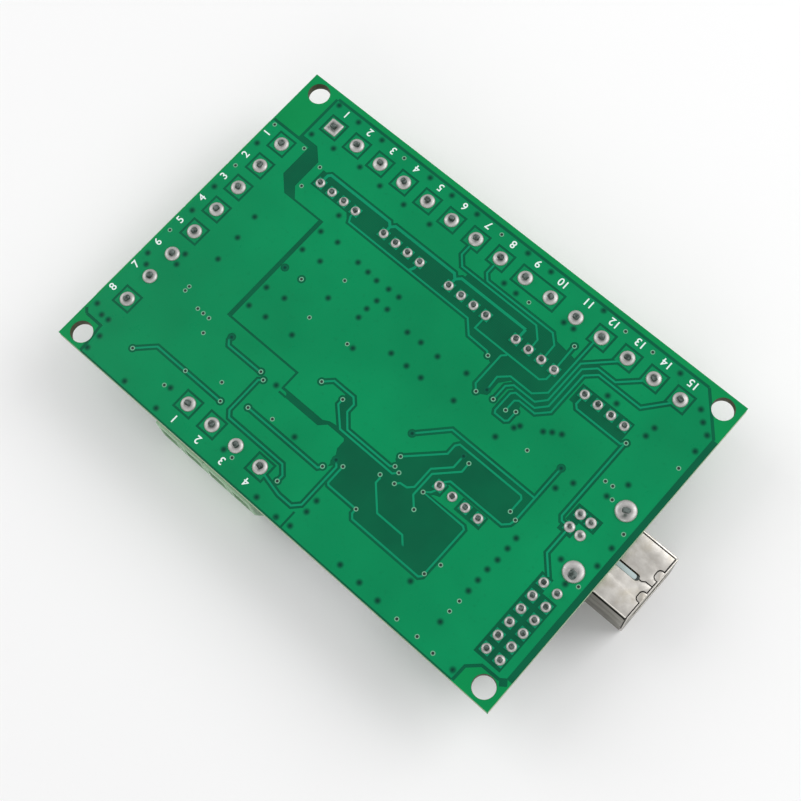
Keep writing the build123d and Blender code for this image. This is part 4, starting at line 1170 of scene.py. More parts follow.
def housing(ways):
    # A moulded block, open towards the board, with a chamber, wire window and screw well for each way
    t = terminal
    length = ways * t["pitch"] - t["play"]
    outline = [(-t["rear"], 0.02), (t["front"], 0.02), (t["front"], t["frontHeight"]),
               (t["front"] - t["frontSlope"], t["height"]), (-t["rear"] + t["rearSlope"], t["height"]),
               (-t["rear"], t["rearHeight"])]
    body = soften(sideBar("housing", outline, length), 0.25, 3, 20)
    centresX = [(i - (ways - 1) / 2) * t["pitch"] for i in range(ways)]
    cutters = []
    for x in centresX:
        half = t["chamberWidth"] / 2
        cutters.append(block("chamber", (x - half, -t["chamberRear"], -1),
                             (x + half, t["front"] - t["wall"], t["chamberTop"])))
        window = block("window", (x - t["windowWidth"] / 2, 2, t["windowLow"]),
                       (x + t["windowWidth"] / 2, t["front"] + 1, t["windowHigh"]))
        cutters.append(soften(window, 0.45, 3))
        cutters.append(rod("well", (x, t["screwOffset"], t["height"] - 1), t["wellRadius"], 6, 28))
        cutters.append(lathe("wellMouth", [(0, 9.7), (1.75, 9.75), (2.1, 10.3), (0, 10.3)], 28))
        cutters[-1].data.transform(Matrix.Translation(Vector((x, t["screwOffset"], 0)) * mm))
        cutters.append(soften(block("probeSlot", (x - 0.5, -2.5, t["height"] - 2.2),
                                    (x + 0.5, -1.2, t["height"] + 1)), 0.15))
    for x in centresX[:-1]:
        cutters.append(block("seam", (x + t["pitch"] / 2 - 0.12, t["front"] - 0.15, 0.6),
                             (x + t["pitch"] / 2 + 0.12, t["front"] + 1, t["frontHeight"])))
    end = length / 2
    keyway = sheetOf("keyway", [(end + 0.2, 1.65, -1), (end - 0.75, 1.3, -1), (end - 0.75, 3.3, -1),
                                (end + 0.2, 2.95, -1)])
    cutters.append(drawOut(keyway, (0, 0, 7.3)))
    cleaned(carve(body, cutters))
    key = sheetOf("key", [(-end + 0.1, 1.7, 0.1), (-end - 0.68, 1.42, 0.1), (-end - 0.68, 3.18, 0.1),
                          (-end + 0.1, 2.9, 0.1)])
    return smoothed(joined("housing", [drawOut(key, (0, 0, 6.1)), body]), 30)


def seatOfBlock(node, turn):
    # Seats are at the middle of the row's length, on the line of its pins
    low, high = boxOf(node)
    front, key = terminal["front"], terminal["keyDepth"]
    if turn == -90:
        return seatBelow(low.x + front, (low.y + high.y - key) / 2, turn)
    if turn == 180:
        return seatBelow((low.x + high.x - key) / 2, high.y - front, turn)
    return seatBelow((low.x + key + high.x) / 2, low.y + front, turn)


def makeTerminals():
    for row, ways, turn, count in (("output", 3, 180, 5), ("input", 2, -90, 4), ("spindle", 2, 0, 2)):
        model = housing(ways)
        for number in range(1, count + 1):
            node = f"{row}_terminal_{number}"
            made = twin(model, seatOfBlock(node, turn))
            made.name = f"{row}Terminal{number}"
            fit(made, "terminal_plastic", finishes["terminal"], node)
        bpy.data.objects.remove(model)


def screwHead():
    # Slotted screw with a slightly domed head and a rolled edge
    profile = [(0, 6.0), (1.62, 6.0), (1.62, 9.2), (1.55, 9.38), (1.3, 9.52), (0, 9.6)]
    head = lathe("screw", profile, 28)
    carve(head, [block("slot", (-2, -0.3, 8.9), (2, 0.3, 10))])
    return smoothed(cleaned(soften(head, 0.05, 2, 50)), 40)


def makeScrews():
    for row, turn in (("output", 180), ("input", -90), ("spindle", 0)):
        seats = []
        for place in centres(f"{row}_screws"):
            jitter = 20 * sin(place.x * 3.7 + place.y * 1.9)
            seats.append(seatBelow(place.x, place.y, turn + jitter))
        fit(setOut(f"{row}Screws", screwHead(), seats), "plated_steel", finishes["steel"], f"{row}_screws")
        dress(f"{row}_clamps", finishes["steel"])
        dress(f"{row}_contacts", finishes["tin"])


makeTerminals()
makeScrews()
print("screw terminals made")


# USB socket, in a seat whose +Y runs to the mouth and +Z away from the board

usb = dict(front=10.2, rear=-6.0, sheet=0.3, corner=0.3, mouthWidth=8.5, mouthHeight=7.8, mouthCut=1.6,
           setback=0.4, rim=0.22, slotX=-0.38, slotWidth=0.9, slotGap=0.22, slotBack=-2.7, slotFront=7.2,
           slit=0.19, notchSpread=2.05, notchWidth=1.95, notchDepth=0.85, notchGap=0.16, foldGap=1.35,
           tongueWidth=5.6, tongueHeight=3.2, tongueFront=8.2, blockFront=-0.6)
tabJoints = [centres("usb_solder")[0], centres("usb_solder")[-1]]
usbSeat = seatBelow((tabJoints[0].x + tabJoints[1].x) / 2, (tabJoints[0].y + tabJoints[1].y) / 2, 90)
usbWidth = boxOf("usb_shell")[1].y - boxOf("usb_shell")[0].y
usbHeight = componentFace - boxOf("usb_shell")[0].z


def alongY(name, outline, back, front):
    # A bar along Y with its outline in X and Z
    return drawOut(sheetOf(name, [(x, back, z) for x, z in outline]), (0, front - back, 0))


def mouthOutline(extra=0.0):
    # The plug's outline: the two corners away from the board are cut off
    half = usb["mouthWidth"] / 2 + extra
    low = (usbHeight - usb["mouthHeight"]) / 2 - extra
    high = (usbHeight + usb["mouthHeight"]) / 2 + extra
    cut = usb["mouthCut"]
    return [(-half, low), (half, low), (half, high - cut), (half - cut, high), (-half + cut, high),
            (-half, high - cut)]


def sleeve(inset, back, front, corner):
    outline = oblong(usbWidth - 2 * inset, usbHeight - 2 * inset, corner, 3)
    return alongY("sleeve", [(x, z + usbHeight / 2) for x, z in outline], back, front)


def seamCutters():
    # A slot with a round end, then a jogged slit where the two halves of the sheet meet
    half, through = usb["slotWidth"] / 2, usb["sheet"] + 0.01
    x, end = usb["slotX"], usb["slotFront"]
    slot = block("slot", (x - half, usb["slotBack"], -1), (x + half + usb["slotGap"], end, through))
    tip = rod("slotTip", (x + usb["slotGap"] / 2, end, 0), half + usb["slotGap"] / 2, 2 * through, 28)
    bend = [(x + 0.1, end), (x + 0.1, end + 1.0), (x + 0.45, end + 1.5), (x + 0.45, usb["front"] + 1)]
    slit = drawOut(sheetOf("slit", [(a, b, -1) for a, b in ribbon(bend, usb["slit"])]), (0, 0, 1 + through))
    return [slot, tip, slit]


def notchCutters():
    # Two round-cornered notches in the front edge of the sheet, over the inner flange
    cutters = []
    for side in (-1, 1):
        back = usb["front"] - usb["setback"]
        outline = oblong(usb["notchWidth"], 2 * usb["notchDepth"], usb["notchWidth"] * 0.36, 6)
        cutter = sheetOf("notch", [(x, y, -1) for x, y in outline])
        drawOut(cutter, (0, 0, 1 + usb["sheet"] + 0.01))
        cutters.append(shifted(cutter, side * usb["notchSpread"], back))
    return cutters


def notchPlates():
    # Tongues of the rim that lie in the notches, a little below the sheet
    plates = []
    gap, back = usb["notchGap"], usb["front"] - usb["setback"]
    width, depth = usb["notchWidth"], usb["notchDepth"]
    for side in (-1, 1):
        outline = oblong(width - 2 * gap, 2 * (depth - gap), width * 0.3, 6)
        place = [(x + side * usb["notchSpread"], min(y + back, usb["front"] - 0.08), 0.08)
                 for x, y in outline]
        plates.append(drawOut(sheetOf("plate", place), (0, 0, 0.2)))
    return plates


def foldCutters():
    # Gaps where the side sheets tuck under the edges of the board-side sheet
    half, sheet = usbWidth / 2, usb["sheet"]
    lower = block("fold", (-half - 1, -9, sheet), (-half + sheet + 0.01, 99, sheet + usb["foldGap"]))
    upper = block("fold", (half - 0.56, -9, -1), (half - 0.36, 99, sheet + 0.01))
    return [lower, upper]


def metalled(part, chosen):
    # Every part carries the same three metals, the sheet, its side finish painted darker as shade and a
    # near-black painted shadow, and chosen picks one for each face
    for finish in ("nickel", "side", "dark"):
        part.data.materials.append(finishes[finish])
    for face in part.data.polygons:
        face.material_index = chosen(face.center / mm, face.normal)
    return part


def outerMetal(place, normal):
    # The fold ledge under the board-side sheet takes the painted shadow
    if abs(place.z - usb["sheet"] - usb["foldGap"]) < 0.12 and normal.z < -0.5 and place.x < 0:
        return 2
    # Faces turned sideways take the side finish, painted darker as shade
    return 1 if abs(normal.x) > 0.75 else 0


def frameMetal(place, normal):
    # Outward faces of the frame, seen only through the seams, take the painted shadow
    return 2 if place.x * normal.x + (place.z - usbHeight / 2) * normal.z > 0 else 1


def makeUsbShell():
    # An outer sheet folded round an inner frame, whose flange makes the mouth
    sheet, front = usb["sheet"], usb["front"]
    outer = sleeve(0, usb["rear"], front - usb["setback"], usb["corner"])
    hollow = sleeve(sheet, usb["rear"] + sheet, front + 1, 0.12)
    foot = block("foot", (-2.15, usb["rear"] + sheet, -1), (2.15, -1.8, sheet + 0.05))
    carve(outer, [hollow, foot] + seamCutters() + notchCutters() + foldCutters())
    frame = sleeve(sheet + 0.02, 3.0, front - 0.1, 0.2)
    flange = sleeve(0.06, front - usb["rim"], front, 0.25)
    mouth = alongY("mouth", mouthOutline(), front - 1, front + 1)
    carve(frame, [sleeve(2 * sheet, 2, front - usb["rim"] - 0.15, 0.1), twin(mouth, Matrix())])
    shelf = block("gap", (usb["slotX"] - 0.5, 2, -1), (usb["slotX"] + 0.75, usb["slotFront"] + 0.6, 1))
    carve(frame, [shelf])
    carve(flange, [mouth])
    tabs = [shifted(tower("tab", oblong(sheet, 1.9), componentFace, [(0.5, 1), (1.2, 1.0), (0.2, 1.0)]),
                    side * (usbWidth - sheet) / 2, 0) for side in (-1, 1)]
    parts = [metalled(soften(tab, 0.06, 1), outerMetal) for tab in tabs]
    parts += [metalled(soften(plate, 0.06, 2), lambda place, normal: 0) for plate in notchPlates()]
    # The mouth's front face takes the side finish, painted darker as shade
    parts.append(metalled(soften(flange, 0.07, 2, 50), lambda place, normal: 1 if normal.y > 0.7 else 0))
    parts.append(metalled(soften(frame, 0.05, 1, 50), frameMetal))
    parts.append(metalled(soften(outer, 0.1, 3, 50), outerMetal))
    whole = joined("usbShell", parts)
    whole.data.transform(usbSeat)
    fit(smoothed(whole, 30), "nickel_steel", [], "usb_shell")


def makeUsbInsulator():
    # The block fills the rear, its tongue carries the contacts, and a rib shows in the shell's slot
    gap = usb["sheet"] + 0.1
    side = usbWidth / 2 - gap
    middle = usbHeight / 2
    body = soften(block("body", (-side, usb["rear"] + gap, gap), (side, usb["blockFront"], usbHeight - gap)),
                  0.25, 2)
    wide, high = usb["tongueWidth"] / 2, usb["tongueHeight"] / 2
    tongue = soften(block("tongue", (-wide, -1, middle - high), (wide, usb["tongueFront"], middle + high)),
                    0.3, 3)
    lanes = []
    for x in (-1.25, 1.25):
        for side in (-1, 1):
            face = middle + side * high
            lanes.append(block("lane", (x - 0.36, 0, face - 0.14), (x + 0.36, 7.4, face + 0.14)))
    carve(tongue, lanes)
    half = usb["slotWidth"] / 2 - 0.04
    rib = tower("rib", oblong(2 * half, usb["slotFront"] + 1, half * 0.9, 5), -0.9, [(0.75, 1), (0.08, 0.99)])
    rib.data.transform(Matrix.Translation(Vector((usb["slotX"], (usb["slotFront"] - 1) / 2 + 0.1, 0)) * mm)
                       @ Matrix.Rotation(pi, 4, "Y"))
    pieces = [soften(rib, 0.08, 2), tongue, body]
    insulator = joined("usbInsulator", pieces)
    insulator.data.transform(usbSeat)
    fit(smoothed(insulator), "pale_plastic", finishes["insulator"], "usb_insulator")


makeUsbShell()
makeUsbInsulator()
dress("usb_contacts", finishes["gold"])
print("USB socket made")


# Axis sockets, pin header and supply converter

pins = dict(pitch=2.54, width=0.64, tip=0.5, axisTop=6.2, headerTop=8.5)
socket = dict(end=2.45, front=3.4, rear=2.35, height=7.0, wall=0.8, floor=1.6, slotWidth=1.3, slotDepth=4.6,
              notchWidth=1.6, notchDepth=2.6, ribWidth=0.7, ribReach=0.45)


def squarePin(top, width, thickness):
    # Runs from the solder face to its blunt tip
    length = top - componentFace - pins["tip"]
    pin = tower("pin", oblong(width, thickness), componentFace, [(length, 1), (pins["tip"], 0.45)])
    return soften(pin, 0.05, 1)


def axisSocket():
    half = 1.5 * pins["pitch"] + socket["end"]
    wall, rear, front, top = socket["wall"], -socket["rear"], socket["front"], socket["height"]
    body = soften(block("socket", (-half, rear, 0.01), (half, front, top)), 0.2, 3)
    cavity = block("cavity", (-half + wall, rear + wall, socket["floor"]),
                   (half - wall, front - wall, top + 1))
    cutters = [soften(cavity, 0.25, 3)]
    for x in (-1.5 * pins["pitch"], 1.5 * pins["pitch"]):
        slot = block("slot", (x - socket["slotWidth"] / 2, front - wall - 0.2, top - socket["slotDepth"]),
                     (x + socket["slotWidth"] / 2, front + 1, top + 1))
        cutters.append(soften(slot, 0.15, 2))
    notch = block("notch", (-half - 1, -socket["notchWidth"] / 2, top - socket["notchDepth"]),
                  (half + 1, socket["notchWidth"] / 2, top + 1))
    cutters.append(soften(notch, 0.2, 2))
    for i in range(4):
        x = (i - 1.5) * pins["pitch"]
        well = tower("well", oblong(0.7, 0.7), -0.5, [(1.6, 1), (0.6, 1), (0.01, 1)])
        cutters.append(shifted(well, x, 0))
        funnel = tower("funnel", oblong(0.7, 0.7), 1.35, [(0.4, 2.1)])
        cutters.append(shifted(funnel, x, 0))
    carve(body, cutters)
    ribs = [soften(block("rib", (x - socket["ribWidth"] / 2, rear + wall - 0.1, 1.5),
                         (x + socket["ribWidth"] / 2, rear + wall + socket["ribReach"], top - 0.6)), 0.12, 2)
            for x in (-1.0, 1.0)]
    return smoothed(joined("axisSocket", ribs + [body]), 30)


def makeAxisSockets():
    model = axisSocket()
    for number in range(1, 6):
        low, high = boxOf(f"axis_socket_{number}")
        made = twin(model, seatBelow((low.x + high.x) / 2, high.y - socket["front"], 180))
        made.name = f"axisSocket{number}"
        fit(made, "white_plastic", finishes["socket"], f"axis_socket_{number}")
    bpy.data.objects.remove(model)
    seats = [seatBelow(place.x, place.y) for place in centres("axis_pins")]
    pin = squarePin(pins["axisTop"], pins["width"], pins["width"])
    fit(setOut("axisPins", pin, seats), "tinned_brass", finishes["tin"], "axis_pins")


def makeHeader():
    # Each pin stands in its own cell with cut corners
    seats = [seatBelow(place.x, place.y) for place in centres("header_pins")]
    cell = tower("cell", oblong(2.52, 2.52, 0.32), 0.01, [(0.4, 1), (1.8, 1), (0.33, 0.94)])
    carve(cell, [block("foot", (-0.5, -2, -0.2), (0.5, 2, 0.25))])
    fit(setOut("headerBlock", soften(cell, 0.06, 1), seats), "black_plastic", finishes["black"],
        "header_block")
    pin = squarePin(pins["headerTop"], pins["width"], pins["width"])
    fit(setOut("headerPins", pin, seats), "tinned_brass", finishes["tin"], "header_pins")


def makeConverter():
    # A thin case filled with resin, whose rim shows round the resin on the board side
    low, high = boxOf("supply_converter")
    length, width, top = high.x - low.x, high.y - low.y, componentFace - low.z
    seat = seatBelow((low.x + high.x) / 2, (low.y + high.y) / 2)
    case = tower("converter", oblong(length, width, 0.4, 3), 0.4,
                 [(top - 0.8, 1), (0.2, 0.985), (0.2, 0.94)])
    filling = tower("filling", oblong(length - 1, width - 1, 0.2), -0.1, [(0.75, 1)])
    carve(case, [shifted(filling, 0, 0)])
    mark = lathe("mark", [(0, top - 0.12), (0.45, top - 0.1), (0.55, top + 0.2), (0, top + 0.2)], 20)
    carve(case, [shifted(mark, -length / 2 + 1.4, 1.6)])
    groove = block("groove", (-length, -high.y, 1.5), (length, high.y, 1.62))
    ring = tower("ring", oblong(length - 0.1, width - 0.1, 0.4, 3), 1.4, [(0.3, 1)])
    applyTo(groove, "BOOLEAN", operation="DIFFERENCE", solver="EXACT", object=ring)
    bpy.data.objects.remove(ring)
    carve(case, [groove])
    case.data.transform(seat)
    case = smoothed(cleaned(soften(case, 0.05, 2, 50)), 30)
    fit(case, "black_plastic", finishes["black"], "supply_converter")
    resin = soften(tower("resin", oblong(length - 1, width - 1, 0.2), 0.5, [(0.1, 1)]), 0.03)
    resin.data.transform(seat)
    fit(resin, "black_plastic", finishes["potting"])
    seats = [seatBelow(place.x, place.y) for place in centres("converter_pins")]
    leg = tower("leg", oblong(0.5, 0.3), componentFace, [(1.2, 1), (0.75, 1)])
    fit(setOut("converterPins", leg, seats), "tinned_brass", finishes["tin"], "converter_pins")


makeAxisSockets()
makeHeader()
makeConverter()
print("pin sockets, header and converter made")


# Chips

chips = dict(
    microcontroller=dict(length=7.0, width=7.0, span=9.0, height=1.5, pins=8, pitch=0.8, lead=0.35, sides=4),
    line_driver=dict(length=12.8, width=7.5, span=10.3, height=2.4, pins=10, pitch=1.27, lead=0.42, sides=2),
    output_driver=dict(length=9.9, width=3.9, span=6.0, height=1.6, pins=8, pitch=1.27, lead=0.42, sides=2),
    amplifier=dict(length=4.9, width=3.9, span=6.0, height=1.6, pins=4, pitch=1.27, lead=0.42, sides=2),
    isolators=dict(length=3.8, width=4.4, span=7.0, height=2.0, pins=2, pitch=2.54, lead=0.4, sides=2),
)
chipShape = dict(standoff=0.1, leadRise=0.35, leadThickness=0.2, dimple=0.09)


def chipBody(kind):
    # Widest at the parting line, where the leads come out
    length, width, high = kind["length"], kind["width"], kind["height"]
    waist = high * chipShape["leadRise"]
    steps = [(waist - 0.1, 1.03), (chipShape["leadThickness"], 1), (high - waist - 0.25, 0.965), (0.05, 0.99)]
    body = tower("chip", oblong(length / 1.03, width / 1.03, 0.12), chipShape["standoff"], steps)
    radius = min(0.45, width * 0.09)
    dimple = lathe("dimple", [(0, high - 0.1), (radius * 0.8, high - 0.08), (radius, high + 0.2),
                              (0, high + 0.2)], 18)
    carve(body, [shifted(dimple, -length / 2 + 0.2 + radius * 1.7, -width / 2 + 0.2 + radius * 1.7)])
    return smoothed(cleaned(soften(body, 0.05, 2, 25)), 25)


def gullLead(kind):
    # Out of the body, down to the board and flat along it
    root, toe = kind["width"] / 2 - 0.1, kind["span"] / 2
    high = kind["height"] * chipShape["leadRise"] + 0.1
    reach = toe - root
    line = [(root, high), (root + reach * 0.3, high), (root + reach * 0.42, high - 0.1),
            (root + reach * 0.56, 0.22), (root + reach * 0.68, 0.1), (toe, 0.1)]
    return soften(sideBar("lead", ribbon(line, 0.18), kind["lead"]), 0.03, 1)


def leadPlaces(kind):
    return [Matrix.Rotation(2 * pi * side / kind["sides"], 4, "Z")
            @ Matrix.Translation(Vector(((i - (kind["pins"] - 1) / 2) * kind["pitch"], 0, 0)) * mm)
            for side in range(kind["sides"]) for i in range(kind["pins"])]


def makeChips():
    for node, kind in chips.items():
        seats = []
        for low, high in solidBoxes(node):
            upright = abs(high.x - low.x - kind["length"]) < abs(high.x - low.x - kind["width"])
            seats.append(seatBelow((low.x + high.x) / 2, (low.y + high.y) / 2, 0 if upright else 90))
        words = node.split("_")
        name = words[0] + "".join(word.title() for word in words[1:])
        fit(setOut(name + "Body", chipBody(kind), seats), "chip_plastic", finishes["chip"], node)
        leads = [seat @ place for seat in seats for place in leadPlaces(kind)]
        fit(setOut(name + "Leads", gullLead(kind), leads), "tin_leads", finishes["tin"], node + "_leads")


makeChips()
print("chips made")


# Power parts

power = dict(tabReach=3.2, tabWidth=5.3, tabThickness=0.5, bodyLength=6.5, bodyWidth=6.1, legWidth=0.8,
             legReach=2.6, legPitch=4.6, chokeCorner=1.8, chokeRing=(2.55, 2.8), chokeSunk=0.4,
             canRadius=4.0, canBase=1.1, baseCut=1.6, crystalLip=0.4, diodeFoot=0.7)


def makeRegulator():
    low, high = boxOf("power_regulator")
    top = componentFace - low.z
    half = power["bodyWidth"] / 2
    seat = seatBelow((low.x + high.x) / 2, low.y + power["tabReach"] + half)
    steps = [(0.9, 1.02), (0.2, 1), (top - 1.35, 0.95), (0.15, 0.98)]
    body = tower("regulator", oblong(power["bodyLength"] / 1.02, power["bodyWidth"] / 1.02, 0.1), 0.1, steps)
    carve(body, [lathe("dimple", [(0, top - 0.1), (0.7, top - 0.08), (0.8, top + 0.2), (0, top + 0.2)], 24)])
    body.data.transform(seat)
    body = smoothed(cleaned(soften(body, 0.08, 2, 25)), 25)
    fit(body, "chip_plastic", finishes["chip"], "power_regulator")
    width, reach = power["tabWidth"] / 2, half + power["tabReach"]
    outline = [(-width, half - 1), (width, half - 1), (width, half + 0.9), (width - 0.35, half + 1.2),
               (width - 0.35, reach - 1.1), (width - 0.8, reach), (-width + 0.8, reach),
               (-width + 0.35, reach - 1.1), (-width + 0.35, half + 1.2), (-width, half + 0.9)]
    tab = drawOut(sheetOf("tab", [(x, y, 0.01) for x, y in outline]), (0, 0, power["tabThickness"]))
    foot = -half - power["legReach"]
    line = [(-half + 0.2, 1.15), (-half - 0.5, 1.15), (-half - 0.8, 1.0), (-half - 1.2, 0.4),
            (-half - 1.5, 0.25), (foot, 0.25)]
    legs = [shifted(soften(sideBar("leg", ribbon(line, 0.48), power["legWidth"]), 0.06, 1), x, 0)
            for x in (-power["legPitch"] / 2, power["legPitch"] / 2)]
    stump = soften(block("stump", (-0.4, -half - 0.5, 0.9), (0.4, -half + 0.2, 1.38)), 0.06, 1)
    metal = joined("regulatorMetal", legs + [stump, soften(tab, 0.08, 2)])
    metal.data.transform(seat)
    fit(metal, "tin_leads", finishes["tin"])


def makeChoke():
    # A square ferrite shield round a drum whose rim shows in a ring of resin
    low, high = boxOf("power_inductor")
    size, top = high.x - low.x, componentFace - low.z
    seat = seatBelow((low.x + high.x) / 2, (low.y + high.y) / 2)
    body = tower("choke", oblong(size, size, power["chokeCorner"]), 1.0, [(top - 1.2, 1), (0.2, 0.96)])
    inner, outer = power["chokeRing"]
    sunk = top - power["chokeSunk"]
    ring = lathe("ring", [(inner, sunk), (outer, sunk), (outer, top + 1), (inner, top + 1),
                          (inner, sunk)], 36)
    carve(body, [ring])
    foot = soften(tower("foot", oblong(size - power["chokeCorner"], size, 0.3), 0.01, [(1.1, 1)]), 0.1, 2)
    choke = joined("choke", [foot, soften(body, 0.12, 2, 30)])
    choke.data.transform(seat)
    fit(smoothed(choke, 30), "ferrite", finishes["ferrite"], "power_inductor")
    ends = []
    for side in (-1, 1):
        plate = soften(block("end", (-1.6, -0.2, 0), (1.6, 0.2, 0.85)), 0.08, 2)
        ends.append(shifted(plate, 0, side * (size / 2 - 0.19)))
    metal = joined("chokeEnds", ends)
    metal.data.transform(seat)
    fit(metal, "tin_leads", finishes["tin"])


def makeCans():
    bases = solidBoxes("capacitor_bases")
    seats = [seatBelow((low.x + high.x) / 2, (low.y + high.y) / 2) for low, high in bases]
    size = bases[0][1].x - bases[0][0].x
    half, cut, plate = size / 2, power["baseCut"], power["canBase"]
    outline = [(-half + cut, -half), (half, -half), (half, half), (-half + cut, half), (-half, half - cut),
               (-half, -half + cut)]
    base = tower("base", outline, 0.01, [(plate - 0.2, 1), (0.19, 0.97)])
    carve(base, [block("lane", (-half - 1, -0.45, -0.1), (half + 1, 0.45, 0.28))])
    fit(setOut("canBases", soften(base, 0.08, 2), seats), "black_plastic", finishes["black"],
        "capacitor_bases")
    foot = soften(block("foot", (-half + 0.02, -0.35, 0), (half - 0.02, 0.35, 0.2)), 0.04, 1)
    fit(setOut("canFeet", foot, seats), "tin_leads", finishes["tin"])
    r, top = power["canRadius"], componentFace - boxOf("capacitor_cans")[0].z
    profile = [(0, plate), (r - 0.15, plate), (r, plate + 0.15), (r, plate + 0.9), (r - 0.3, plate + 1.15),
               (r - 0.3, plate + 1.35), (r, plate + 1.6), (r, top - 0.45), (r - 0.12, top - 0.15),
               (r - 0.45, top), (0, top - 0.03)]
    can = smoothed(lathe("can", profile, 48), 30)
    fit(setOut("cans", can, seats), "can_aluminium", finishes["can"], "capacitor_cans")
    arc = [(3.45 * cos(a), 3.45 * sin(a)) for a in (pi - 0.85 + 1.7 * i / 16 for i in range(17))]
    mark = tower("canMark", arc, top - 0.02, [(0.03, 1)])
    fit(setOut("canMarks", mark, seats), "black_plastic", finishes["black"])


def makeCrystal():
    low, high = boxOf("crystal")
    length, width, top = high.x - low.x, high.y - low.y, componentFace - low.z
    lip = power["crystalLip"]
    base = tower("crystal", oblong(length, width, width / 2 - 0.01, 8), 0.01,
                 [(lip * 0.6, 1), (lip * 0.4, 0.985)])
    shell = tower("shell", oblong(length - 2 * lip, width - 2 * lip, width / 2 - lip - 0.01, 8), 0.2,
                  [(top - 0.45, 1), (0.15, 0.985), (0.1, 0.94)])
    whole = joined("crystalCan", [base, shell])
    whole.data.transform(seatBelow((low.x + high.x) / 2, (low.y + high.y) / 2))
    fit(smoothed(whole, 40), "nickel_steel", finishes["nickel"], "crystal")


def makeDiode():
    # Its long way runs along Y; a pale band marks the cathode
    low, high = boxOf("power_diode")
    seat = seatBelow((low.x + high.x) / 2, (low.y + high.y) / 2)
    width, top = high.x - low.x, componentFace - low.z
    long = high.y - low.y - 2 * power["diodeFoot"]
    body = tower("diode", oblong(width / 1.03, long / 1.03, 0.08), 0.1,
                 [(0.9, 1.03), (0.2, 1), (top - 1.3, 0.93), (0.1, 0.98)])
    body.data.transform(seat)
    fit(smoothed(soften(body, 0.06, 2, 25), 25), "chip_plastic", finishes["chip"], "power_diode")
    band = block("diodeBand", (-width * 0.44, long * 0.24, top - 0.02),
                 (width * 0.44, long * 0.36, top + 0.004))
    soften(band, 0.008, 1).data.transform(seat)
    fit(band, "chip_plastic", finishes["print"])
    end = long / 2
    line = [(end - 0.1, 1.1), (end + 0.3, 1.1), (end + 0.5, 0.95), (end + 0.55, 0.3), (end + 0.4, 0.1),
            (end - 0.3, 0.1)]
    feet = [soften(sideBar("foot", ribbon(line, 0.2), 1.3), 0.04, 1)]
    feet.append(twin(feet[0], Matrix.Rotation(pi, 4, "Z")))
    metal = joined("diodeFeet", feet)
    metal.data.transform(seat)
    fit(metal, "tin_leads", finishes["tin"])


makeRegulator()
makeChoke()
makeCans()
makeCrystal()
makeDiode()
print("power parts made")


# Small parts with plated ends

smallParts = dict(capLength=0.36, inset=0.03)


def seatsOf(node):
    # A small part lies along X, or along Y where its box is longer that way
    seats = []
    for low, high in solidBoxes(node):
        turn = 0 if high.x - low.x > high.y - low.y else 90
        seats.append(seatBelow((low.x + high.x) / 2, (low.y + high.y) / 2, turn))
    low, high = solidBoxes(node)[0]
    sides = sorted((high.x - low.x, high.y - low.y))
    return seats, sides[1], sides[0], high.z - low.z


def endCaps(length, width, height):
    # Metal wrapped round both ends
    reach = smallParts["capLength"]
    caps = []
    for side in (-1, 1):
        cap = block("cap", (-reach / 2, -width / 2, 0), (reach / 2, width / 2, height))
        caps.append(shifted(soften(cap, 0.06, 2), side * (length - reach) / 2, 0))
    return joined("caps", caps)


def core(length, width, low, high, edge=0.04):
    x, y = length / 2 - smallParts["inset"], width / 2 - smallParts["inset"]
    return soften(block("core", (-x, -y, low), (x, y, high)), edge, 2)


def makeSmallParts():
    seats, length, width, height = seatsOf("resistors")
    fit(setOut("resistorCores", core(length, width, 0.02, height - 0.06), seats), "resistor_glaze",
        finishes["ceramicWhite"], "resistors")
    glaze = soften(block("glaze", (-length / 2 + 0.4, -width / 2 + 0.08, height - 0.1),
                         (length / 2 - 0.4, width / 2 - 0.08, height - 0.01)), 0.03, 2)
    fit(setOut("resistorGlaze", glaze, seats), "resistor_glaze", finishes["resistor"])
    fit(setOut("resistorEnds", endCaps(length, width, height), seats), "tin_leads", finishes["tin"])
    seats, length, width, height = seatsOf("ceramic_capacitors")
    fit(setOut("capacitorCores", core(length, width, 0.02, height - 0.03, 0.08), seats), "capacitor_ceramic",
        finishes["ceramic"], "ceramic_capacitors")
    fit(setOut("capacitorEnds", endCaps(length, width, height), seats), "tin_leads", finishes["tin"])
    seats, length, width, height = seatsOf("status_lamps")
    fit(setOut("lampBases", core(length, width, 0.02, height * 0.45), seats), "lamp_lens",
        finishes["ceramicWhite"], "status_lamps")
    lens = tower("lens", oblong(length * 0.62, width * 0.94, 0.1), height * 0.4,
                 [(height * 0.4, 0.96), (height * 0.2, 0.85)])
    fit(setOut("lampLenses", smoothed(soften(lens, 0.05, 2)), seats), "lamp_lens", finishes["lens"])
    fit(setOut("lampEnds", endCaps(length, width, height * 0.48), seats), "tin_leads", finishes["tin"])


makeSmallParts()
print("small parts made")


# Printed outlines round the parts on the component face

frames = dict(width=0.18, gap=0.35, thickness=0.01)


def frameRound(low, high, grow):
    # A thin printed rectangle on the component face
    wide, tall = high.x - low.x + 2 * grow, high.y - low.y + 2 * grow
    half = frames["width"]
    outer = tower("frame", oblong(wide, tall), 0, [(frames["thickness"], 1)])
    inner = tower("inside", oblong(wide - 2 * half, tall - 2 * half), -0.5, [(1, 1)])
    carve(outer, [inner])
    rise = componentFace - copperTop - frames["thickness"]
    shifted(outer, (low.x + high.x) / 2, (low.y + high.y) / 2, rise)
    return outer


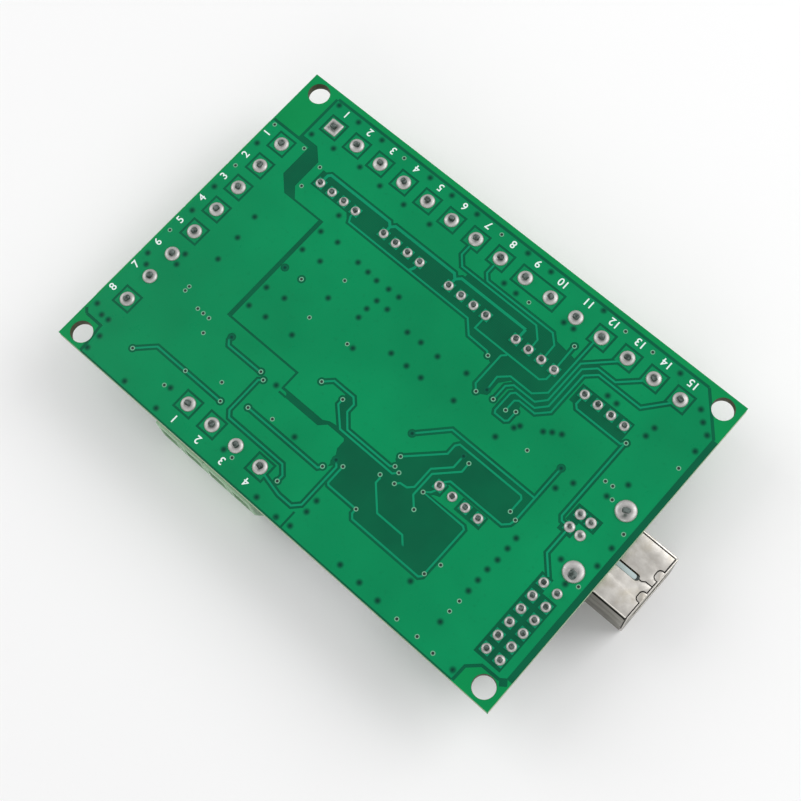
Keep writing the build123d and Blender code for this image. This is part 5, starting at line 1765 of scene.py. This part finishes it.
def makePartFrames():
    grow = frames["gap"]
    outlines = []
    singles = ["header_block", "supply_converter", "line_driver_leads", "output_driver_leads",
               "microcontroller_leads", "amplifier_leads", "power_regulator", "power_inductor", "crystal",
               "power_diode"]
    singles += [f"axis_socket_{number}" for number in range(1, 6)]
    for node in singles:
        outlines.append(frameRound(*boxOf(node), grow))
    for node in ("resistors", "ceramic_capacitors", "status_lamps", "isolators", "capacitor_bases"):
        outlines += [frameRound(low, high, grow * 0.8) for low, high in solidBoxes(node)]
    fit(joined("partFrames", outlines), "solder_mask", finishes["print"])


makePartFrames()
print("outlines printed")


# Floor, lights and camera

studio = dict(floorSize=3.0, floorDrop=0.0002, world=0.58)


def makeStudio():
    level = frameBounds[0].z - studio["floorDrop"]
    bpy.ops.mesh.primitive_plane_add(size=studio["floorSize"], location=(0, 0, level))
    floor = bpy.context.object
    floor.name = "floor"
    settle(floor)
    floor.data.materials.append(finishes["floor"])
    world = bpy.data.worlds.new("studio")
    bpy.context.scene.world = world
    world.use_nodes = True
    world.node_tree.nodes["Background"].inputs["Color"].default_value = (1, 1, 1, 1)
    world.node_tree.nodes["Background"].inputs["Strength"].default_value = studio["world"]


def softbox(name, place, target, size, power):
    lamp = bpy.data.lights.new(name, "AREA")
    lamp.shape = "RECTANGLE"
    lamp.size, lamp.size_y = size
    lamp.energy = power
    holder = bpy.data.objects.new(name, lamp)
    bpy.context.collection.objects.link(holder)
    holder.location = place
    holder.rotation_euler = (Vector(target) - Vector(place)).to_track_quat("-Z", "Y").to_euler()


view = dict(place=(0.05797, -0.04707, 0.20956), target=(0.00388, -0.00325, 0), roll=9.66, lens=65.25,
            sensor=36, nearest=0.005)


def makeCamera():
    camera = bpy.data.cameras.new("camera")
    camera.lens = view["lens"]
    camera.sensor_width = view["sensor"]
    camera.clip_start = view["nearest"]
    holder = bpy.data.objects.new("camera", camera)
    bpy.context.collection.objects.link(holder)
    sight = Vector(view["target"]) - Vector(view["place"])
    aim = sight.to_track_quat("-Z", "Y").to_matrix().to_4x4()
    turn = aim @ Matrix.Rotation(radians(-view["roll"]), 4, "Z")
    holder.matrix_world = Matrix.Translation(view["place"]) @ turn
    bpy.context.scene.camera = holder


# The lights stand low and to the sides, so that the flat board mirrors none of them to the camera
makeStudio()
softbox("keyLight", (0.28, 0.42, 0.4), (0, 0, 0), (0.5, 0.4), 2.0)
softbox("sideLight", (-0.5, -0.1, 0.42), (0, 0, 0), (0.4, 0.5), 1.25)
softbox("frontLight", (0.25, -0.5, 0.3), (0, 0, 0), (0.4, 0.3), 0.5)
makeCamera()
bpy.context.scene.view_settings.view_transform = "Standard"
print("studio made")
